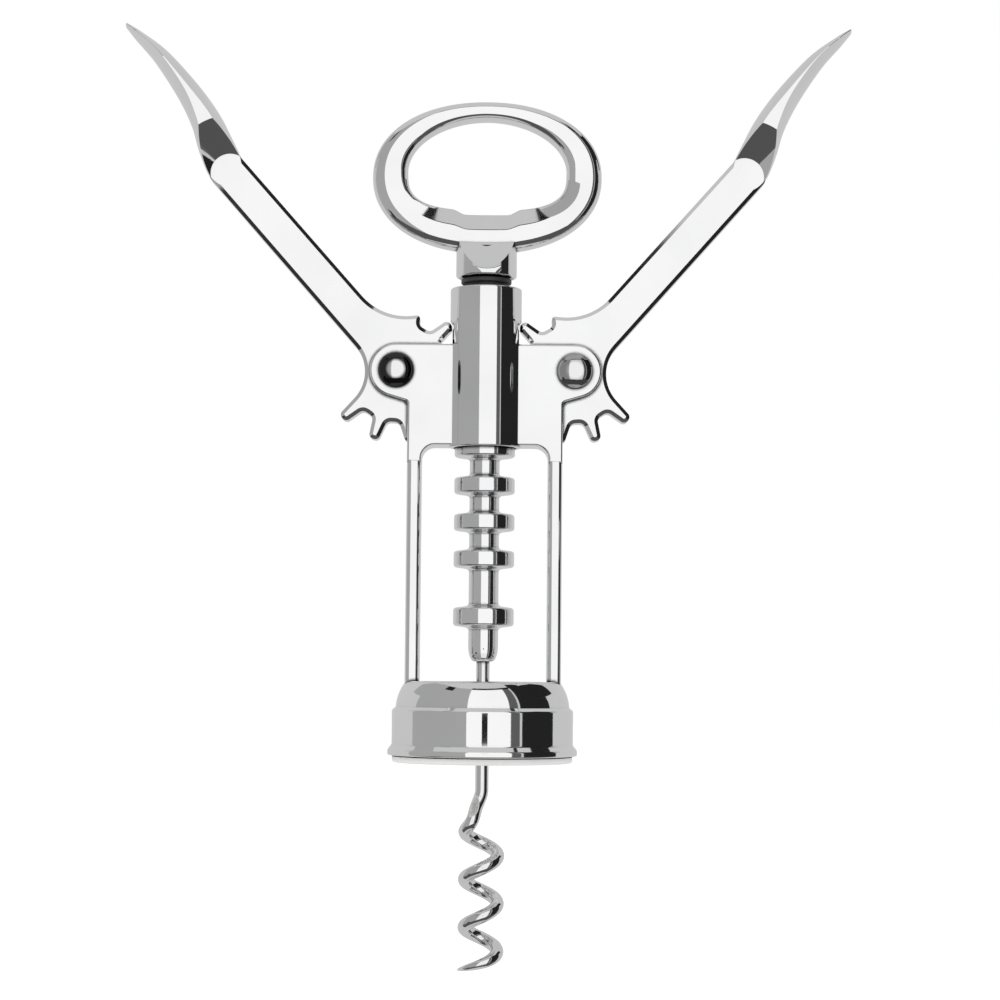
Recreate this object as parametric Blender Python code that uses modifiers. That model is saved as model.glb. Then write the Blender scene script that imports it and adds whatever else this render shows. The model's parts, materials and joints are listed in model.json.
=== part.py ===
"""Wing corkscrew: a worm on a ringed rack that two geared levers raise.

The screw axis is Z, the levers swing in the XZ plane, and the origin is where the bottle's lip seats.
All sizes are in metres.
"""

import math

import bmesh
import bpy
from mathutils import Matrix, Vector

# Clearances
FIT_GAP = 0.00025
RUN_GAP = 0.0003
BORE_GAP = 0.00025
WORM_GAP = 0.0005
POCKET_GAP = 0.0005
TOOTH_TIP_GAP = 0.0005
CUT_OVERRUN = 0.002

# Bottle guide and bell
BOTTLE_BORE = 0.0149
INSERT_WALL = 0.0009
INSERT_WEB = 0.0015
INSERT_FLANGE = 0.0012
INSERT_FLANGE_INSET = 0.00095
BELL_WALL = 0.00155
BELL_TOP_WALL = 0.0016
BELL_HEIGHT = 0.0150
BELL_SHOULDER_FLARE = 0.0013
BELL_SHOULDER_HEIGHT = 0.0024
BELL_STEP_DROP = 0.0046
BELL_STEP_HEIGHT = 0.0020
BELL_STEP_FLARE = 0.00105
BELL_RIM_FLARE = 0.0007
BELL_RIM_HEIGHT = 0.0022
BELL_LEDGE = 0.0004
BELL_EDGE = 0.0003

# Rack shaft
RACK_PITCH = 0.00754
RACK_RINGS = 8
RINGS_ABOVE_MESH = 2
CORE_RADIUS = 0.00305
RING_RADIUS = 0.0062
RING_ROOT = 0.0049
RING_RIM = 0.0032
RING_PROFILE_SHARES = ((0.0, 1.0), (0.45, 0.22), (0.90, -0.03), (1.0, -0.35))
STOP_RING_RIM = 0.0036
STOP_RING_DROP = 0.0118
SHAFT_TAIL = 0.00685
SHAFT_CONE = 0.00225
SHAFT_END_WALL = 0.0006
SHAFT_ABOVE_BELL = 0.0041

# Worm
WIRE_RADIUS = 0.00135
WORM_RADIUS = 0.00470
WORM_PITCH = 0.00965
WORM_TURNS = 3
WORM_STRAIGHT = 0.0260
WORM_LEAD_IN = 0.0086
WORM_SEAT = 0.0080
WORM_TAPER_TURNS = 0.5
WORM_TIP_LIFT = 0.0011
WORM_TIP_SHARE = 0.12
WORM_POINTS_PER_TURN = 20

# Gears and levers
TEETH_PER_TURN = 12
TEETH = 7
TEETH_ABOVE_MESH = 2
PITCH_LINE_SHARE = 0.270
REST_TOOTH_ANGLE = math.radians(11.8)
GEAR_ROOT_GAP = 0.00165
TOOTH_TIP_WIDTH = 0.0020
TOOTH_ROOT_WIDTH = 0.0030
TOOTH_TIP_ROUND = 0.0010
TOOTH_ROOT_ROUND = 0.0013
LEVER_THICKNESS = 0.0048
LEVER_EDGE = 0.0005
ARM_ANGLE = math.radians(131.45)
ARM_LENGTH = 0.0565
ARM_ABOVE = 0.0048
ARM_BELOW = 0.0030
ARM_TAPER = 0.0001
ARM_END_ROUND = 0.0012
SHOULDER_PITCH_SHARE = 0.85
SHOULDER_NOTCH_SHARE = 0.75
SHOULDER_RADIUS = 0.0126
SHOULDER_ROUND = 0.0005
NECK_REACH = 0.0101
NECK_ROUND = 0.0123
WAIST_REACH = 0.0022
WAIST_ROUND = 0.0081

# Grip paddle: reach past the arm's end, rise, width, depth and side facet, as shares of the sizes below
PADDLE_LENGTH = 0.0350
PADDLE_RISE = 0.0066
PADDLE_WIDTH = 0.0080
PADDLE_DEPTH = 0.0142
PADDLE_SHARES = (
    (-0.20, 0.14, 0.70, 0.26, 0.50),
    (-0.04, 0.14, 0.94, 0.36, 0.66),
    (0.10, 0.36, 0.93, 0.68, 0.60),
    (0.26, 0.65, 0.79, 0.95, 0.35),
    (0.46, 0.84, 0.63, 1.00, 0.15),
    (0.72, 0.92, 0.44, 0.93, 0.08),
    (0.91, 0.82, 0.25, 0.68, 0.10),
    (1.00, 0.76, 0.11, 0.36, 0.20),
)
PADDLE_STEPS = 2
PADDLE_ARC_STEPS = 6

# Pivots
RIVET_RADIUS = 0.0024
RIVET_HEAD_RADIUS = 0.00365
RIVET_HEAD_HEIGHT = 0.0019
RIVET_HEAD_STEPS = 5

# Frame
PLATE_THICKNESS = 0.0014
EAR_RADIUS = 0.00545
EAR_SLANT_DROP = 0.0064
EAR_SLANT_ROUND = 0.0006
LEG_WIDTH = 0.0029
WINDOW_ROUND = 0.0030
WINDOW_BELOW_POCKET = 0.0001
FRAME_EDGE = 0.0005
BARREL_WALL = 0.00089
BARREL_COVER = 0.0006
BARREL_TAIL = 0.0003
BARREL_EDGE = 0.0004
FILLET_RISE = 0.0006
FILLET_FOOT = 0.00065
FILLET_SINK = 0.0003
TENON_WIDTH = 0.0013
TENON_DEPTH = 0.0050
TENON_ROOT = 0.0010

# Handle and bush
NECK_STAND_OFF = 0.0023
NECK_INSET = 0.0002
NECK_LENGTH = 0.0080
NECK_EDGE = 0.0001
NECK_INTO_RING = 0.00285
NECK_BORE_DEPTH = 0.0065
NECK_FACET_HEIGHT = 0.0066
NECK_FACET_HALF = 0.0022
HANDLE_HALF_WIDTH = 0.0237
HANDLE_HALF_HEIGHT = 0.0158
HANDLE_DEPTH = 0.0058
OPENING_HALF_WIDTH = 0.0164
OPENING_ABOVE = 0.0106
OPENING_BELOW = 0.0080
OPENING_RISE = 0.0012
LIFTER_HALF_WIDTH = 0.0058
LIFTER_EASE = 0.0030
LIFTER_DIP = 0.0010
HANDLE_POWER = 2.15
OPENING_UPPER_POWER = 1.95
OPENING_LOWER_POWER = 3.1
HANDLE_STATIONS = 48
HANDLE_SECTION_STEPS = 10
BUSH_FLANGE_RADIUS = 0.0052
BUSH_SLEEVE_RADIUS = 0.00425
BUSH_FLANGE = 0.0010

# Fineness
ARC_STEP = math.radians(24)
BELL_SEGMENTS = 36
BARREL_SEGMENTS = 36
SHAFT_SEGMENTS = 20
SMALL_SEGMENTS = 16
SMOOTH_ANGLE = math.radians(40)
FILLET_REACH_SHARE = 0.78
WELD_SHARE = 0.001
TINY_TURN = 0.01

# Sizes that follow from the driving ones
WELD = FIT_GAP * WELD_SHARE
PITCH_RADIUS = TEETH_PER_TURN * RACK_PITCH / math.tau
TOOTH_PITCH = math.tau / TEETH_PER_TURN
PIN_X = PITCH_RADIUS + CORE_RADIUS + PITCH_LINE_SHARE * (RING_RADIUS - CORE_RADIUS)
GEAR_RADIUS = PIN_X - CORE_RADIUS - TOOTH_TIP_GAP
GEAR_ROOT = PIN_X - RING_RADIUS - GEAR_ROOT_GAP
POCKET_RADIUS = GEAR_RADIUS + POCKET_GAP
SLOT_HALF = LEVER_THICKNESS / 2 + RUN_GAP
PLATE_FACE = SLOT_HALF + PLATE_THICKNESS
BARREL_BORE = RING_RADIUS + BORE_GAP
BARREL_RADIUS = BARREL_BORE + BARREL_WALL
PIN_HOLE = RIVET_RADIUS + FIT_GAP

INSERT_RADIUS = BOTTLE_BORE + INSERT_WALL
BELL_BORE = INSERT_RADIUS + FIT_GAP
BELL_SHOULDER = BELL_BORE + BELL_WALL
BELL_TOP_RADIUS = BELL_SHOULDER - BELL_SHOULDER_FLARE
BELL_BAND = BELL_SHOULDER + BELL_STEP_FLARE
BELL_RIM = BELL_BAND + BELL_RIM_FLARE
LEG_OUTER = BELL_TOP_RADIUS - BELL_LEDGE
LEG_INNER = LEG_OUTER - LEG_WIDTH
WEB_HOLE = WORM_RADIUS + WORM_GAP
BELL_HOLE = WEB_HOLE + WORM_GAP

SEAT_Z = 0.0
WEB_TOP_Z = SEAT_Z + INSERT_WEB
BELL_INNER_TOP_Z = WEB_TOP_Z + FIT_GAP
BELL_TOP_Z = BELL_INNER_TOP_Z + BELL_TOP_WALL
BELL_RIM_Z = BELL_TOP_Z - BELL_HEIGHT
FLANGE_TOP_Z = BELL_RIM_Z - FIT_GAP
FLANGE_BOTTOM_Z = FLANGE_TOP_Z - INSERT_FLANGE
LEG_FOOT_Z = BELL_TOP_Z + FIT_GAP

MESH_RING_OFFSET = PITCH_RADIUS * REST_TOOTH_ANGLE - RACK_PITCH / 2
TOP_RING_OFFSET = MESH_RING_OFFSET + RINGS_ABOVE_MESH * RACK_PITCH
LOW_RING_OFFSET = TOP_RING_OFFSET - (RACK_RINGS - 1) * RACK_PITCH
STOP_RING_OFFSET = LOW_RING_OFFSET - STOP_RING_DROP
SHAFT_END_OFFSET = STOP_RING_OFFSET - SHAFT_TAIL - SHAFT_CONE
SHAFT_END_Z = BELL_TOP_Z + SHAFT_ABOVE_BELL
PIN_Z = SHAFT_END_Z - SHAFT_END_OFFSET
WINDOW_TOP_Z = PIN_Z - POCKET_RADIUS - WINDOW_BELOW_POCKET
PLATE_TOP_Z = PIN_Z + EAR_RADIUS
BARREL_BOTTOM_Z = WINDOW_TOP_Z - BARREL_TAIL
BARREL_TOP_Z = PIN_Z + TOP_RING_OFFSET + RING_ROOT / 2 + BARREL_COVER
NECK_BOTTOM_Z = BARREL_TOP_Z + NECK_STAND_OFF
NECK_TOP_Z = NECK_BOTTOM_Z + NECK_LENGTH
NECK_RADIUS = BARREL_BORE - NECK_INSET
NECK_BORE = CORE_RADIUS + FIT_GAP
NECK_BORE_TOP_Z = NECK_BOTTOM_Z + NECK_BORE_DEPTH
SHAFT_TOP_Z = NECK_BORE_TOP_Z - FIT_GAP
HANDLE_Z = NECK_TOP_Z - NECK_INTO_RING + HANDLE_HALF_HEIGHT
SHAFT_END_BORE = WIRE_RADIUS + FIT_GAP
SHAFT_END_RADIUS = SHAFT_END_BORE + SHAFT_END_WALL

CHROME = ((0.80, 0.80, 0.81), 0.08, 1.0)
STEEL = ((0.72, 0.72, 0.73), 0.14, 1.0)
WHITE_PLASTIC = ((0.86, 0.86, 0.85), 0.40, 0.0)
BLACK_PLASTIC = ((0.03, 0.03, 0.03), 0.45, 0.0)

PLANES = {
    "XY": Matrix.Identity(4),
    "XZ": Matrix(((1, 0, 0, 0), (0, 0, -1, 0), (0, 1, 0, 0), (0, 0, 0, 1))),
    "YZ": Matrix(((0, 0, 1, 0), (1, 0, 0, 0), (0, 1, 0, 0), (0, 0, 0, 1))),
}


# Scene, collections and materials

def clear_scene():
    for item in list(bpy.data.objects):
        bpy.data.objects.remove(item, do_unlink=True)


def new_collection(name):
    collection = bpy.data.collections.new(name)
    bpy.context.scene.collection.children.link(collection)
    return collection


def add_material(item, finish):
    colour, roughness, metallic = finish
    material = bpy.data.materials.new(item.name + "_finish")
    material.use_nodes = True
    shader = material.node_tree.nodes["Principled BSDF"]
    shader.inputs["Base Color"].default_value = (*colour, 1.0)
    shader.inputs["Roughness"].default_value = roughness
    shader.inputs["Metallic"].default_value = metallic
    item.data.materials.clear()
    item.data.materials.append(material)


def add_object(name, mesh, collection, matrix=None):
    item = bpy.data.objects.new(name, mesh)
    collection.objects.link(item)
    if matrix is not None:
        item.matrix_world = matrix
    return item


def make_helper(item):
    item.hide_render = True
    item.display_type = "WIRE"
    item.hide_set(True)
    return item


def smooth(mesh):
    mesh.shade_smooth()
    mesh.set_sharp_from_angle(angle=SMOOTH_ANGLE)


def boolean(item, other, operation):
    modifier = item.modifiers.new(operation.title() + " " + other.name, "BOOLEAN")
    modifier.operation = operation
    modifier.solver = "EXACT"
    modifier.object = other
    make_helper(other)


# Shapes

def rounded_outline(corners):
    """Points of a closed outline whose corners (x, y, radius) are rounded, each within its own sides."""
    points = []
    count = len(corners)
    for index, (x, y, radius) in enumerate(corners):
        here = Vector((x, y))
        back = Vector(corners[index - 1][:2]) - here
        ahead = Vector(corners[(index + 1) % count][:2]) - here
        turn = math.pi - back.angle(ahead)
        if radius == 0 or turn < TINY_TURN:
            points.append(here)
            continue
        limit = FILLET_REACH_SHARE * min(back.length, ahead.length)
        reach = min(radius * math.tan(turn / 2), limit)
        rounding = reach / math.tan(turn / 2)
        back.normalize()
        ahead.normalize()
        centre = here + (back + ahead).normalized() * rounding / math.cos(turn / 2)
        first = here + back * reach - centre
        last = here + ahead * reach - centre
        sweep = math.atan2(first.x * last.y - first.y * last.x, first.dot(last))
        steps = max(1, math.ceil(abs(sweep) / ARC_STEP))
        for step in range(steps + 1):
            angle = sweep * step / steps
            spoke = Vector((
                first.x * math.cos(angle) - first.y * math.sin(angle),
                first.x * math.sin(angle) + first.y * math.cos(angle),
            ))
            points.append(centre + spoke)
    return points


def arc(centre, radius, start, end):
    """Points on an arc from one angle to another, both ends included."""
    steps = max(1, math.ceil(abs(end - start) / ARC_STEP))
    points = []
    for step in range(steps + 1):
        angle = start + (end - start) * step / steps
        points.append((centre[0] + radius * math.cos(angle), centre[1] + radius * math.sin(angle)))
    return points


def solid_from_curve(curve_object, name, collection):
    """Mesh object with a curve's evaluated shape and place, its caps welded on."""
    bpy.context.view_layer.update()
    graph = bpy.context.evaluated_depsgraph_get()
    mesh = bpy.data.meshes.new_from_object(curve_object.evaluated_get(graph))
    shape = bmesh.new()
    shape.from_mesh(mesh)
    bmesh.ops.remove_doubles(shape, verts=shape.verts, dist=WELD)
    bmesh.ops.recalc_face_normals(shape, faces=shape.faces)
    shape.to_mesh(mesh)
    shape.free()
    smooth(mesh)
    mesh.name = name
    matrix = curve_object.matrix_world.copy()
    curve = curve_object.data
    bpy.data.objects.remove(curve_object, do_unlink=True)
    bpy.data.curves.remove(curve)
    return add_object(name, mesh, collection, matrix)


def plate(name, outline, half_thickness, plane, collection, edge=0.0, place=(0, 0, 0)):
    """Flat outline in a plane, thickened both ways from it, with its edges rounded by edge."""
    curve = bpy.data.curves.new(name, "CURVE")
    curve.dimensions = "2D"
    curve.fill_mode = "BOTH"
    curve.extrude = half_thickness - edge
    curve.bevel_depth = edge
    curve.offset = -edge
    curve.bevel_resolution = 1
    spline = curve.splines.new("POLY")
    spline.points.add(len(outline) - 1)
    for point, (x, y) in zip(spline.points, outline):
        point.co = (x, y, 0, 1)
    spline.use_cyclic_u = True
    item = bpy.data.objects.new(name, curve)
    collection.objects.link(item)
    item.matrix_world = Matrix.Translation(place) @ PLANES[plane]
    return solid_from_curve(item, name, collection)


def turned(name, profile, segments, collection, closed=False):
    """Solid turned about Z from a profile of (radius, height) that runs down its outer side."""
    mesh = bpy.data.meshes.new(name)
    edges = [(index, index + 1) for index in range(len(profile) - 1)]
    if closed:
        edges.append((len(profile) - 1, 0))
    mesh.from_pydata([(radius, 0, height) for radius, height in profile], edges, [])
    item = add_object(name, mesh, collection)
    screw = item.modifiers.new("Turn", "SCREW")
    screw.axis = "Z"
    screw.steps = segments
    screw.render_steps = segments
    screw.use_merge_vertices = True
    screw.merge_threshold = WELD
    screw.use_smooth_shade = True
    return item


def cylinder(name, radius, half_length, segments, collection, matrix):
    shape = bmesh.new()
    bmesh.ops.create_cone(
        shape, cap_ends=True, segments=segments, radius1=radius, radius2=radius, depth=2 * half_length
    )
    mesh = bpy.data.meshes.new(name)
    shape.to_mesh(mesh)
    shape.free()
    smooth(mesh)
    return add_object(name, mesh, collection, matrix)


def box(name, low, high, collection):
    shape = bmesh.new()
    bmesh.ops.create_cube(shape, size=1)
    size = Vector(high) - Vector(low)
    bmesh.ops.scale(shape, vec=size, verts=shape.verts)
    bmesh.ops.translate(shape, vec=(Vector(high) + Vector(low)) / 2, verts=shape.verts)
    mesh = bpy.data.meshes.new(name)
    shape.to_mesh(mesh)
    shape.free()
    return add_object(name, mesh, collection)


def loft(name, rings, collection, closed=False, place=(0, 0, 0)):
    """Skin over rings of points with equal counts; the ends are capped unless the loft closes on itself."""
    shape = bmesh.new()
    loops = [[shape.verts.new(point) for point in ring] for ring in rings]
    spans = len(loops) if closed else len(loops) - 1
    for index in range(spans):
        first = loops[index]
        second = loops[(index + 1) % len(loops)]
        for corner in range(len(first)):
            following = (corner + 1) % len(first)
            shape.faces.new((first[corner], first[following], second[following], second[corner]))
    if not closed:
        shape.faces.new(loops[0])
        shape.faces.new(loops[-1])
    bmesh.ops.recalc_face_normals(shape, faces=shape.faces)
    mesh = bpy.data.meshes.new(name)
    shape.to_mesh(mesh)
    shape.free()
    smooth(mesh)
    return add_object(name, mesh, collection, Matrix.Translation(place))


# Bell and its insert

def bell_profile():
    shoulder_z = BELL_TOP_Z - BELL_SHOULDER_HEIGHT
    step_z = BELL_TOP_Z - BELL_STEP_DROP
    band_z = step_z - BELL_STEP_HEIGHT
    rim_z = BELL_RIM_Z + BELL_RIM_HEIGHT
    profile = [(BELL_HOLE, BELL_TOP_Z), (BELL_TOP_RADIUS - BELL_EDGE, BELL_TOP_Z)]
    for height, reach in arc((0, 0), 1, math.pi / 2, 0):
        profile.append((
            BELL_TOP_RADIUS + BELL_SHOULDER_FLARE * height,
            shoulder_z + BELL_SHOULDER_HEIGHT * reach - BELL_EDGE * reach,
        ))
    profile += [
        (BELL_SHOULDER, step_z),
        ((BELL_SHOULDER + BELL_BAND) / 2, step_z - BELL_STEP_HEIGHT / 2),
        (BELL_BAND, band_z),
        (BELL_BAND, rim_z),
        (BELL_RIM, (rim_z + BELL_RIM_Z) / 2),
        (BELL_RIM, BELL_RIM_Z + BELL_EDGE),
        (BELL_RIM - BELL_EDGE, BELL_RIM_Z),
        (BELL_BORE, BELL_RIM_Z),
        (BELL_BORE, BELL_INNER_TOP_Z),
        (BELL_HOLE, BELL_INNER_TOP_Z),
    ]
    return profile


def leg_centre(side):
    return side * (LEG_INNER + LEG_OUTER) / 2


def build_bell(parts, cutters):
    bell = turned("bell", bell_profile(), BELL_SEGMENTS, parts, closed=True)
    for side in (-1, 1):
        centre = leg_centre(side)
        half_width = TENON_WIDTH / 2 + FIT_GAP
        half_depth = TENON_DEPTH / 2 + FIT_GAP
        mortise = box(
            "mortise",
            (centre - half_width, -half_depth, BELL_INNER_TOP_Z - FIT_GAP),
            (centre + half_width, half_depth, BELL_TOP_Z + CUT_OVERRUN),
            cutters,
        )
        boolean(bell, mortise, "DIFFERENCE")
    add_material(bell, CHROME)


def build_insert(parts):
    profile = [
        (WEB_HOLE, WEB_TOP_Z),
        (INSERT_RADIUS, WEB_TOP_Z),
        (INSERT_RADIUS, FLANGE_TOP_Z),
        (BELL_RIM - INSERT_FLANGE_INSET, FLANGE_TOP_Z),
        (BELL_RIM - INSERT_FLANGE_INSET, FLANGE_BOTTOM_Z + BELL_EDGE),
        (BELL_RIM - INSERT_FLANGE_INSET - BELL_EDGE, FLANGE_BOTTOM_Z),
        (BOTTLE_BORE + BELL_EDGE, FLANGE_BOTTOM_Z),
        (BOTTLE_BORE, FLANGE_BOTTOM_Z + BELL_EDGE),
        (BOTTLE_BORE, SEAT_Z),
        (WEB_HOLE, SEAT_Z),
    ]
    insert = turned("bell_insert", profile, BELL_SEGMENTS, parts, closed=True)
    add_material(insert, WHITE_PLASTIC)


# Frame

def tangent_angle(centre, radius, point):
    """Angle, seen from a circle's centre, where a line from a point below it touches its right side."""
    offset = Vector(point) - Vector(centre)
    lean = math.acos(min(1, radius / offset.length))
    return math.atan2(offset.y, offset.x) + lean


def frame_outline():
    """Front view of the frame: plates with an ear at each pin, over the window and the two legs."""
    waist = (LEG_OUTER, PIN_Z - EAR_SLANT_DROP)
    touch = tangent_angle((PIN_X, PIN_Z), EAR_RADIUS, waist)
    ear = [(x, z, 0) for x, z in arc((PIN_X, PIN_Z), EAR_RADIUS, math.pi / 2, touch)]
    foot = LEG_FOOT_Z - CUT_OVERRUN
    half = ear + [
        (*waist, EAR_SLANT_ROUND),
        (LEG_OUTER, foot, 0),
        (LEG_INNER, foot, 0),
        (LEG_INNER, WINDOW_TOP_Z, WINDOW_ROUND),
    ]
    mirrored = [(-x, z, radius) for x, z, radius in reversed(half)]
    return rounded_outline(half + mirrored)


def barrel_profile():
    return [
        (0, BARREL_TOP_Z),
        (BARREL_RADIUS - BARREL_EDGE, BARREL_TOP_Z),
        (BARREL_RADIUS, BARREL_TOP_Z - BARREL_EDGE),
        (BARREL_RADIUS, BARREL_BOTTOM_Z + BARREL_EDGE),
        (BARREL_RADIUS - BARREL_EDGE, BARREL_BOTTOM_Z),
        (0, BARREL_BOTTOM_Z),
    ]


def fillet_outline(side_x, side_y):
    """Plan of the sloping strip between the barrel and a plate, sunk a little into both."""
    crown = (math.sqrt(BARREL_RADIUS ** 2 - (PLATE_FACE + FILLET_RISE) ** 2), PLATE_FACE + FILLET_RISE)
    foot = (math.sqrt(BARREL_RADIUS ** 2 - PLATE_FACE ** 2) + FILLET_FOOT, PLATE_FACE)
    slope = FILLET_RISE / (foot[0] - crown[0])
    points = [
        (crown[0] - FILLET_SINK, crown[1] + FILLET_SINK * slope),
        (foot[0] + FILLET_SINK / slope, foot[1] - FILLET_SINK),
        (crown[0] - FILLET_SINK, foot[1] - FILLET_SINK),
    ]
    return [(side_x * x, side_y * y) for x, y in points]


def build_frame(parts, cutters):
    frame = plate("frame", frame_outline(), PLATE_FACE, "XZ", parts, edge=FRAME_EDGE)
    barrel = turned("barrel_stock", barrel_profile(), BARREL_SEGMENTS, cutters)
    boolean(frame, barrel, "UNION")
    strip_half = (PLATE_TOP_Z - WINDOW_TOP_Z) / 2
    for side_x in (-1, 1):
        for side_y in (-1, 1):
            strip = plate(
                "fillet_strip", fillet_outline(side_x, side_y), strip_half, "XY", cutters,
                place=(0, 0, (PLATE_TOP_Z + WINDOW_TOP_Z) / 2),
            )
            boolean(frame, strip, "UNION")
    bore_half = (BARREL_TOP_Z - BARREL_BOTTOM_Z) / 2 + CUT_OVERRUN
    bore_matrix = Matrix.Translation((0, 0, (BARREL_TOP_Z + BARREL_BOTTOM_Z) / 2))
    bore = cylinder("bore", BARREL_BORE, bore_half, BARREL_SEGMENTS, cutters, bore_matrix)
    boolean(frame, bore, "DIFFERENCE")
    for side in (-1, 1):
        across = Matrix.Translation((side * PIN_X, 0, PIN_Z)) @ PLANES["XZ"]
        pocket = cylinder("pocket", POCKET_RADIUS, SLOT_HALF, BARREL_SEGMENTS, cutters, across)
        boolean(frame, pocket, "DIFFERENCE")
        hole = cylinder("pin_hole", PIN_HOLE, PLATE_FACE + CUT_OVERRUN, SMALL_SEGMENTS, cutters, across)
        boolean(frame, hole, "DIFFERENCE")
    wide = LEG_OUTER + CUT_OVERRUN
    deep = PLATE_FACE + CUT_OVERRUN
    trim = box("foot_trim", (-wide, -deep, LEG_FOOT_Z - 2 * CUT_OVERRUN), (wide, deep, LEG_FOOT_Z), cutters)
    boolean(frame, trim, "DIFFERENCE")
    for side in (-1, 1):
        centre = leg_centre(side)
        tenon = box(
            "tenon",
            (centre - TENON_WIDTH / 2, -TENON_DEPTH / 2, BELL_INNER_TOP_Z),
            (centre + TENON_WIDTH / 2, TENON_DEPTH / 2, LEG_FOOT_Z + TENON_ROOT),
            cutters,
        )
        boolean(frame, tenon, "UNION")
    add_material(frame, CHROME)


# Levers

def tooth_corners(angle, last):
    """Corners of one tooth, clockwise; the last tooth has no root on its far side."""
    outward = Vector((math.cos(angle), math.sin(angle)))
    clockwise = Vector((math.sin(angle), -math.cos(angle)))
    tip = TOOTH_TIP_WIDTH / 2
    root = TOOTH_ROOT_WIDTH / 2
    stations = [
        (GEAR_ROOT, -root, TOOTH_ROOT_ROUND),
        (GEAR_RADIUS, -tip, TOOTH_TIP_ROUND),
        (GEAR_RADIUS, tip, TOOTH_TIP_ROUND),
        (GEAR_ROOT, root, TOOTH_ROOT_ROUND),
    ]
    if last:
        stations.pop()
    corners = []
    for reach, shift, rounding in stations:
        point = outward * reach + clockwise * shift
        corners.append((point.x, point.y, rounding))
    return corners


def arm_point(reach, rise):
    """Point of the left lever, given along its arm and to the handle's side of it, from the pin."""
    along = Vector((math.cos(ARM_ANGLE), math.sin(ARM_ANGLE)))
    across = Vector((math.sin(ARM_ANGLE), -math.cos(ARM_ANGLE)))
    return along * reach + across * rise


def lever_outline():
    """Left lever's gear sector and arm, from the arm's end clockwise past the teeth."""
    top_tooth = REST_TOOTH_ANGLE + (TEETH_ABOVE_MESH - 1) * TOOTH_PITCH
    shoulder = top_tooth + SHOULDER_PITCH_SHARE * TOOTH_PITCH
    notch = top_tooth + SHOULDER_NOTCH_SHARE * TOOTH_PITCH
    corners = [
        (*arm_point(ARM_LENGTH, ARM_ABOVE - ARM_TAPER), ARM_END_ROUND),
        (*arm_point(NECK_REACH, ARM_ABOVE), NECK_ROUND),
        (SHOULDER_RADIUS * math.cos(shoulder), SHOULDER_RADIUS * math.sin(shoulder), SHOULDER_ROUND),
        (GEAR_ROOT * math.cos(notch), GEAR_ROOT * math.sin(notch), TOOTH_ROOT_ROUND),
    ]
    for index in range(TEETH):
        corners += tooth_corners(top_tooth - index * TOOTH_PITCH, index == TEETH - 1)
    corners += [
        (*arm_point(WAIST_REACH, -ARM_BELOW), WAIST_ROUND),
        (*arm_point(ARM_LENGTH, ARM_TAPER - ARM_BELOW), ARM_END_ROUND),
    ]
    return rounded_outline(corners)


def between(rows, steps):
    """Rows of numbers with extra rows between them, on a smooth curve through the given ones."""
    result = []
    for index in range(len(rows) - 1):
        before = rows[max(index - 1, 0)]
        start = rows[index]
        end = rows[index + 1]
        after = rows[min(index + 2, len(rows) - 1)]
        for step in range(steps):
            t = step / steps
            result.append([
                0.5 * (2 * b + (c - a) * t + (2 * a - 5 * b + 4 * c - d) * t ** 2
                       + (3 * b - a - 3 * c + d) * t ** 3)
                for a, b, c, d in zip(before, start, end, after)
            ])
    result.append(list(rows[-1]))
    return result


def paddle_sections(side):
    """Rings of the grip paddle: a convex back and front between two side facets that fade to a rim."""
    rows = between(PADDLE_SHARES, PADDLE_STEPS)
    middles = [
        arm_point(ARM_LENGTH + reach * PADDLE_LENGTH, rise * PADDLE_RISE) for reach, rise, *_ in rows
    ]
    rings = []
    for index, (_, _, width_share, depth_share, facet_share) in enumerate(rows):
        ahead = middles[min(index + 1, len(rows) - 1)]
        behind = middles[max(index - 1, 0)]
        direction = (ahead - behind).normalized()
        across = Vector((direction.y, -direction.x))
        half_width = width_share * PADDLE_WIDTH / 2
        half_depth = depth_share * PADDLE_DEPTH / 2
        facet = facet_share * half_width
        ring = []
        for face in (1, -1):
            for step in range(PADDLE_ARC_STEPS + 1):
                angle = math.pi * step / PADDLE_ARC_STEPS
                rise = face * (facet + (half_width - facet) * math.sin(angle))
                point = middles[index] + across * rise
                ring.append((side * point.x, face * half_depth * math.cos(angle), point.y))
        rings.append(ring)
    return rings


def build_lever(name, side, parts, cutters):
    """Lever whose gear faces the shaft: side is 1 for the left one and -1 for its mirror image."""
    pin = (-side * PIN_X, 0, PIN_Z)
    outline = [(side * x, z) for x, z in lever_outline()]
    lever = plate(name, outline, LEVER_THICKNESS / 2, "XZ", parts, edge=LEVER_EDGE, place=pin)
    paddle = loft(name + "_paddle", paddle_sections(side), cutters, place=pin)
    boolean(lever, paddle, "UNION")
    across = Matrix.Translation(pin) @ PLANES["XZ"]
    hole = cylinder(name + "_hole", PIN_HOLE, LEVER_THICKNESS, SMALL_SEGMENTS, cutters, across)
    boolean(lever, hole, "DIFFERENCE")
    add_material(lever, CHROME)


def rivet_profile():
    seat = PLATE_FACE + FIT_GAP
    upper = [(0, seat + RIVET_HEAD_HEIGHT)]
    for step in range(1, RIVET_HEAD_STEPS + 1):
        angle = math.pi / 2 * step / RIVET_HEAD_STEPS
        upper.append((RIVET_HEAD_RADIUS * math.sin(angle), seat + RIVET_HEAD_HEIGHT * math.cos(angle)))
    upper.append((RIVET_RADIUS, seat))
    return upper + [(radius, -height) for radius, height in reversed(upper)]


def build_rivet(name, side, parts):
    rivet = turned(name, rivet_profile(), SMALL_SEGMENTS, parts)
    rivet.matrix_world = Matrix.Translation((side * PIN_X, 0, PIN_Z)) @ PLANES["XZ"]
    add_material(rivet, STEEL)


# Screw: shaft, worm, bush and handle

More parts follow.
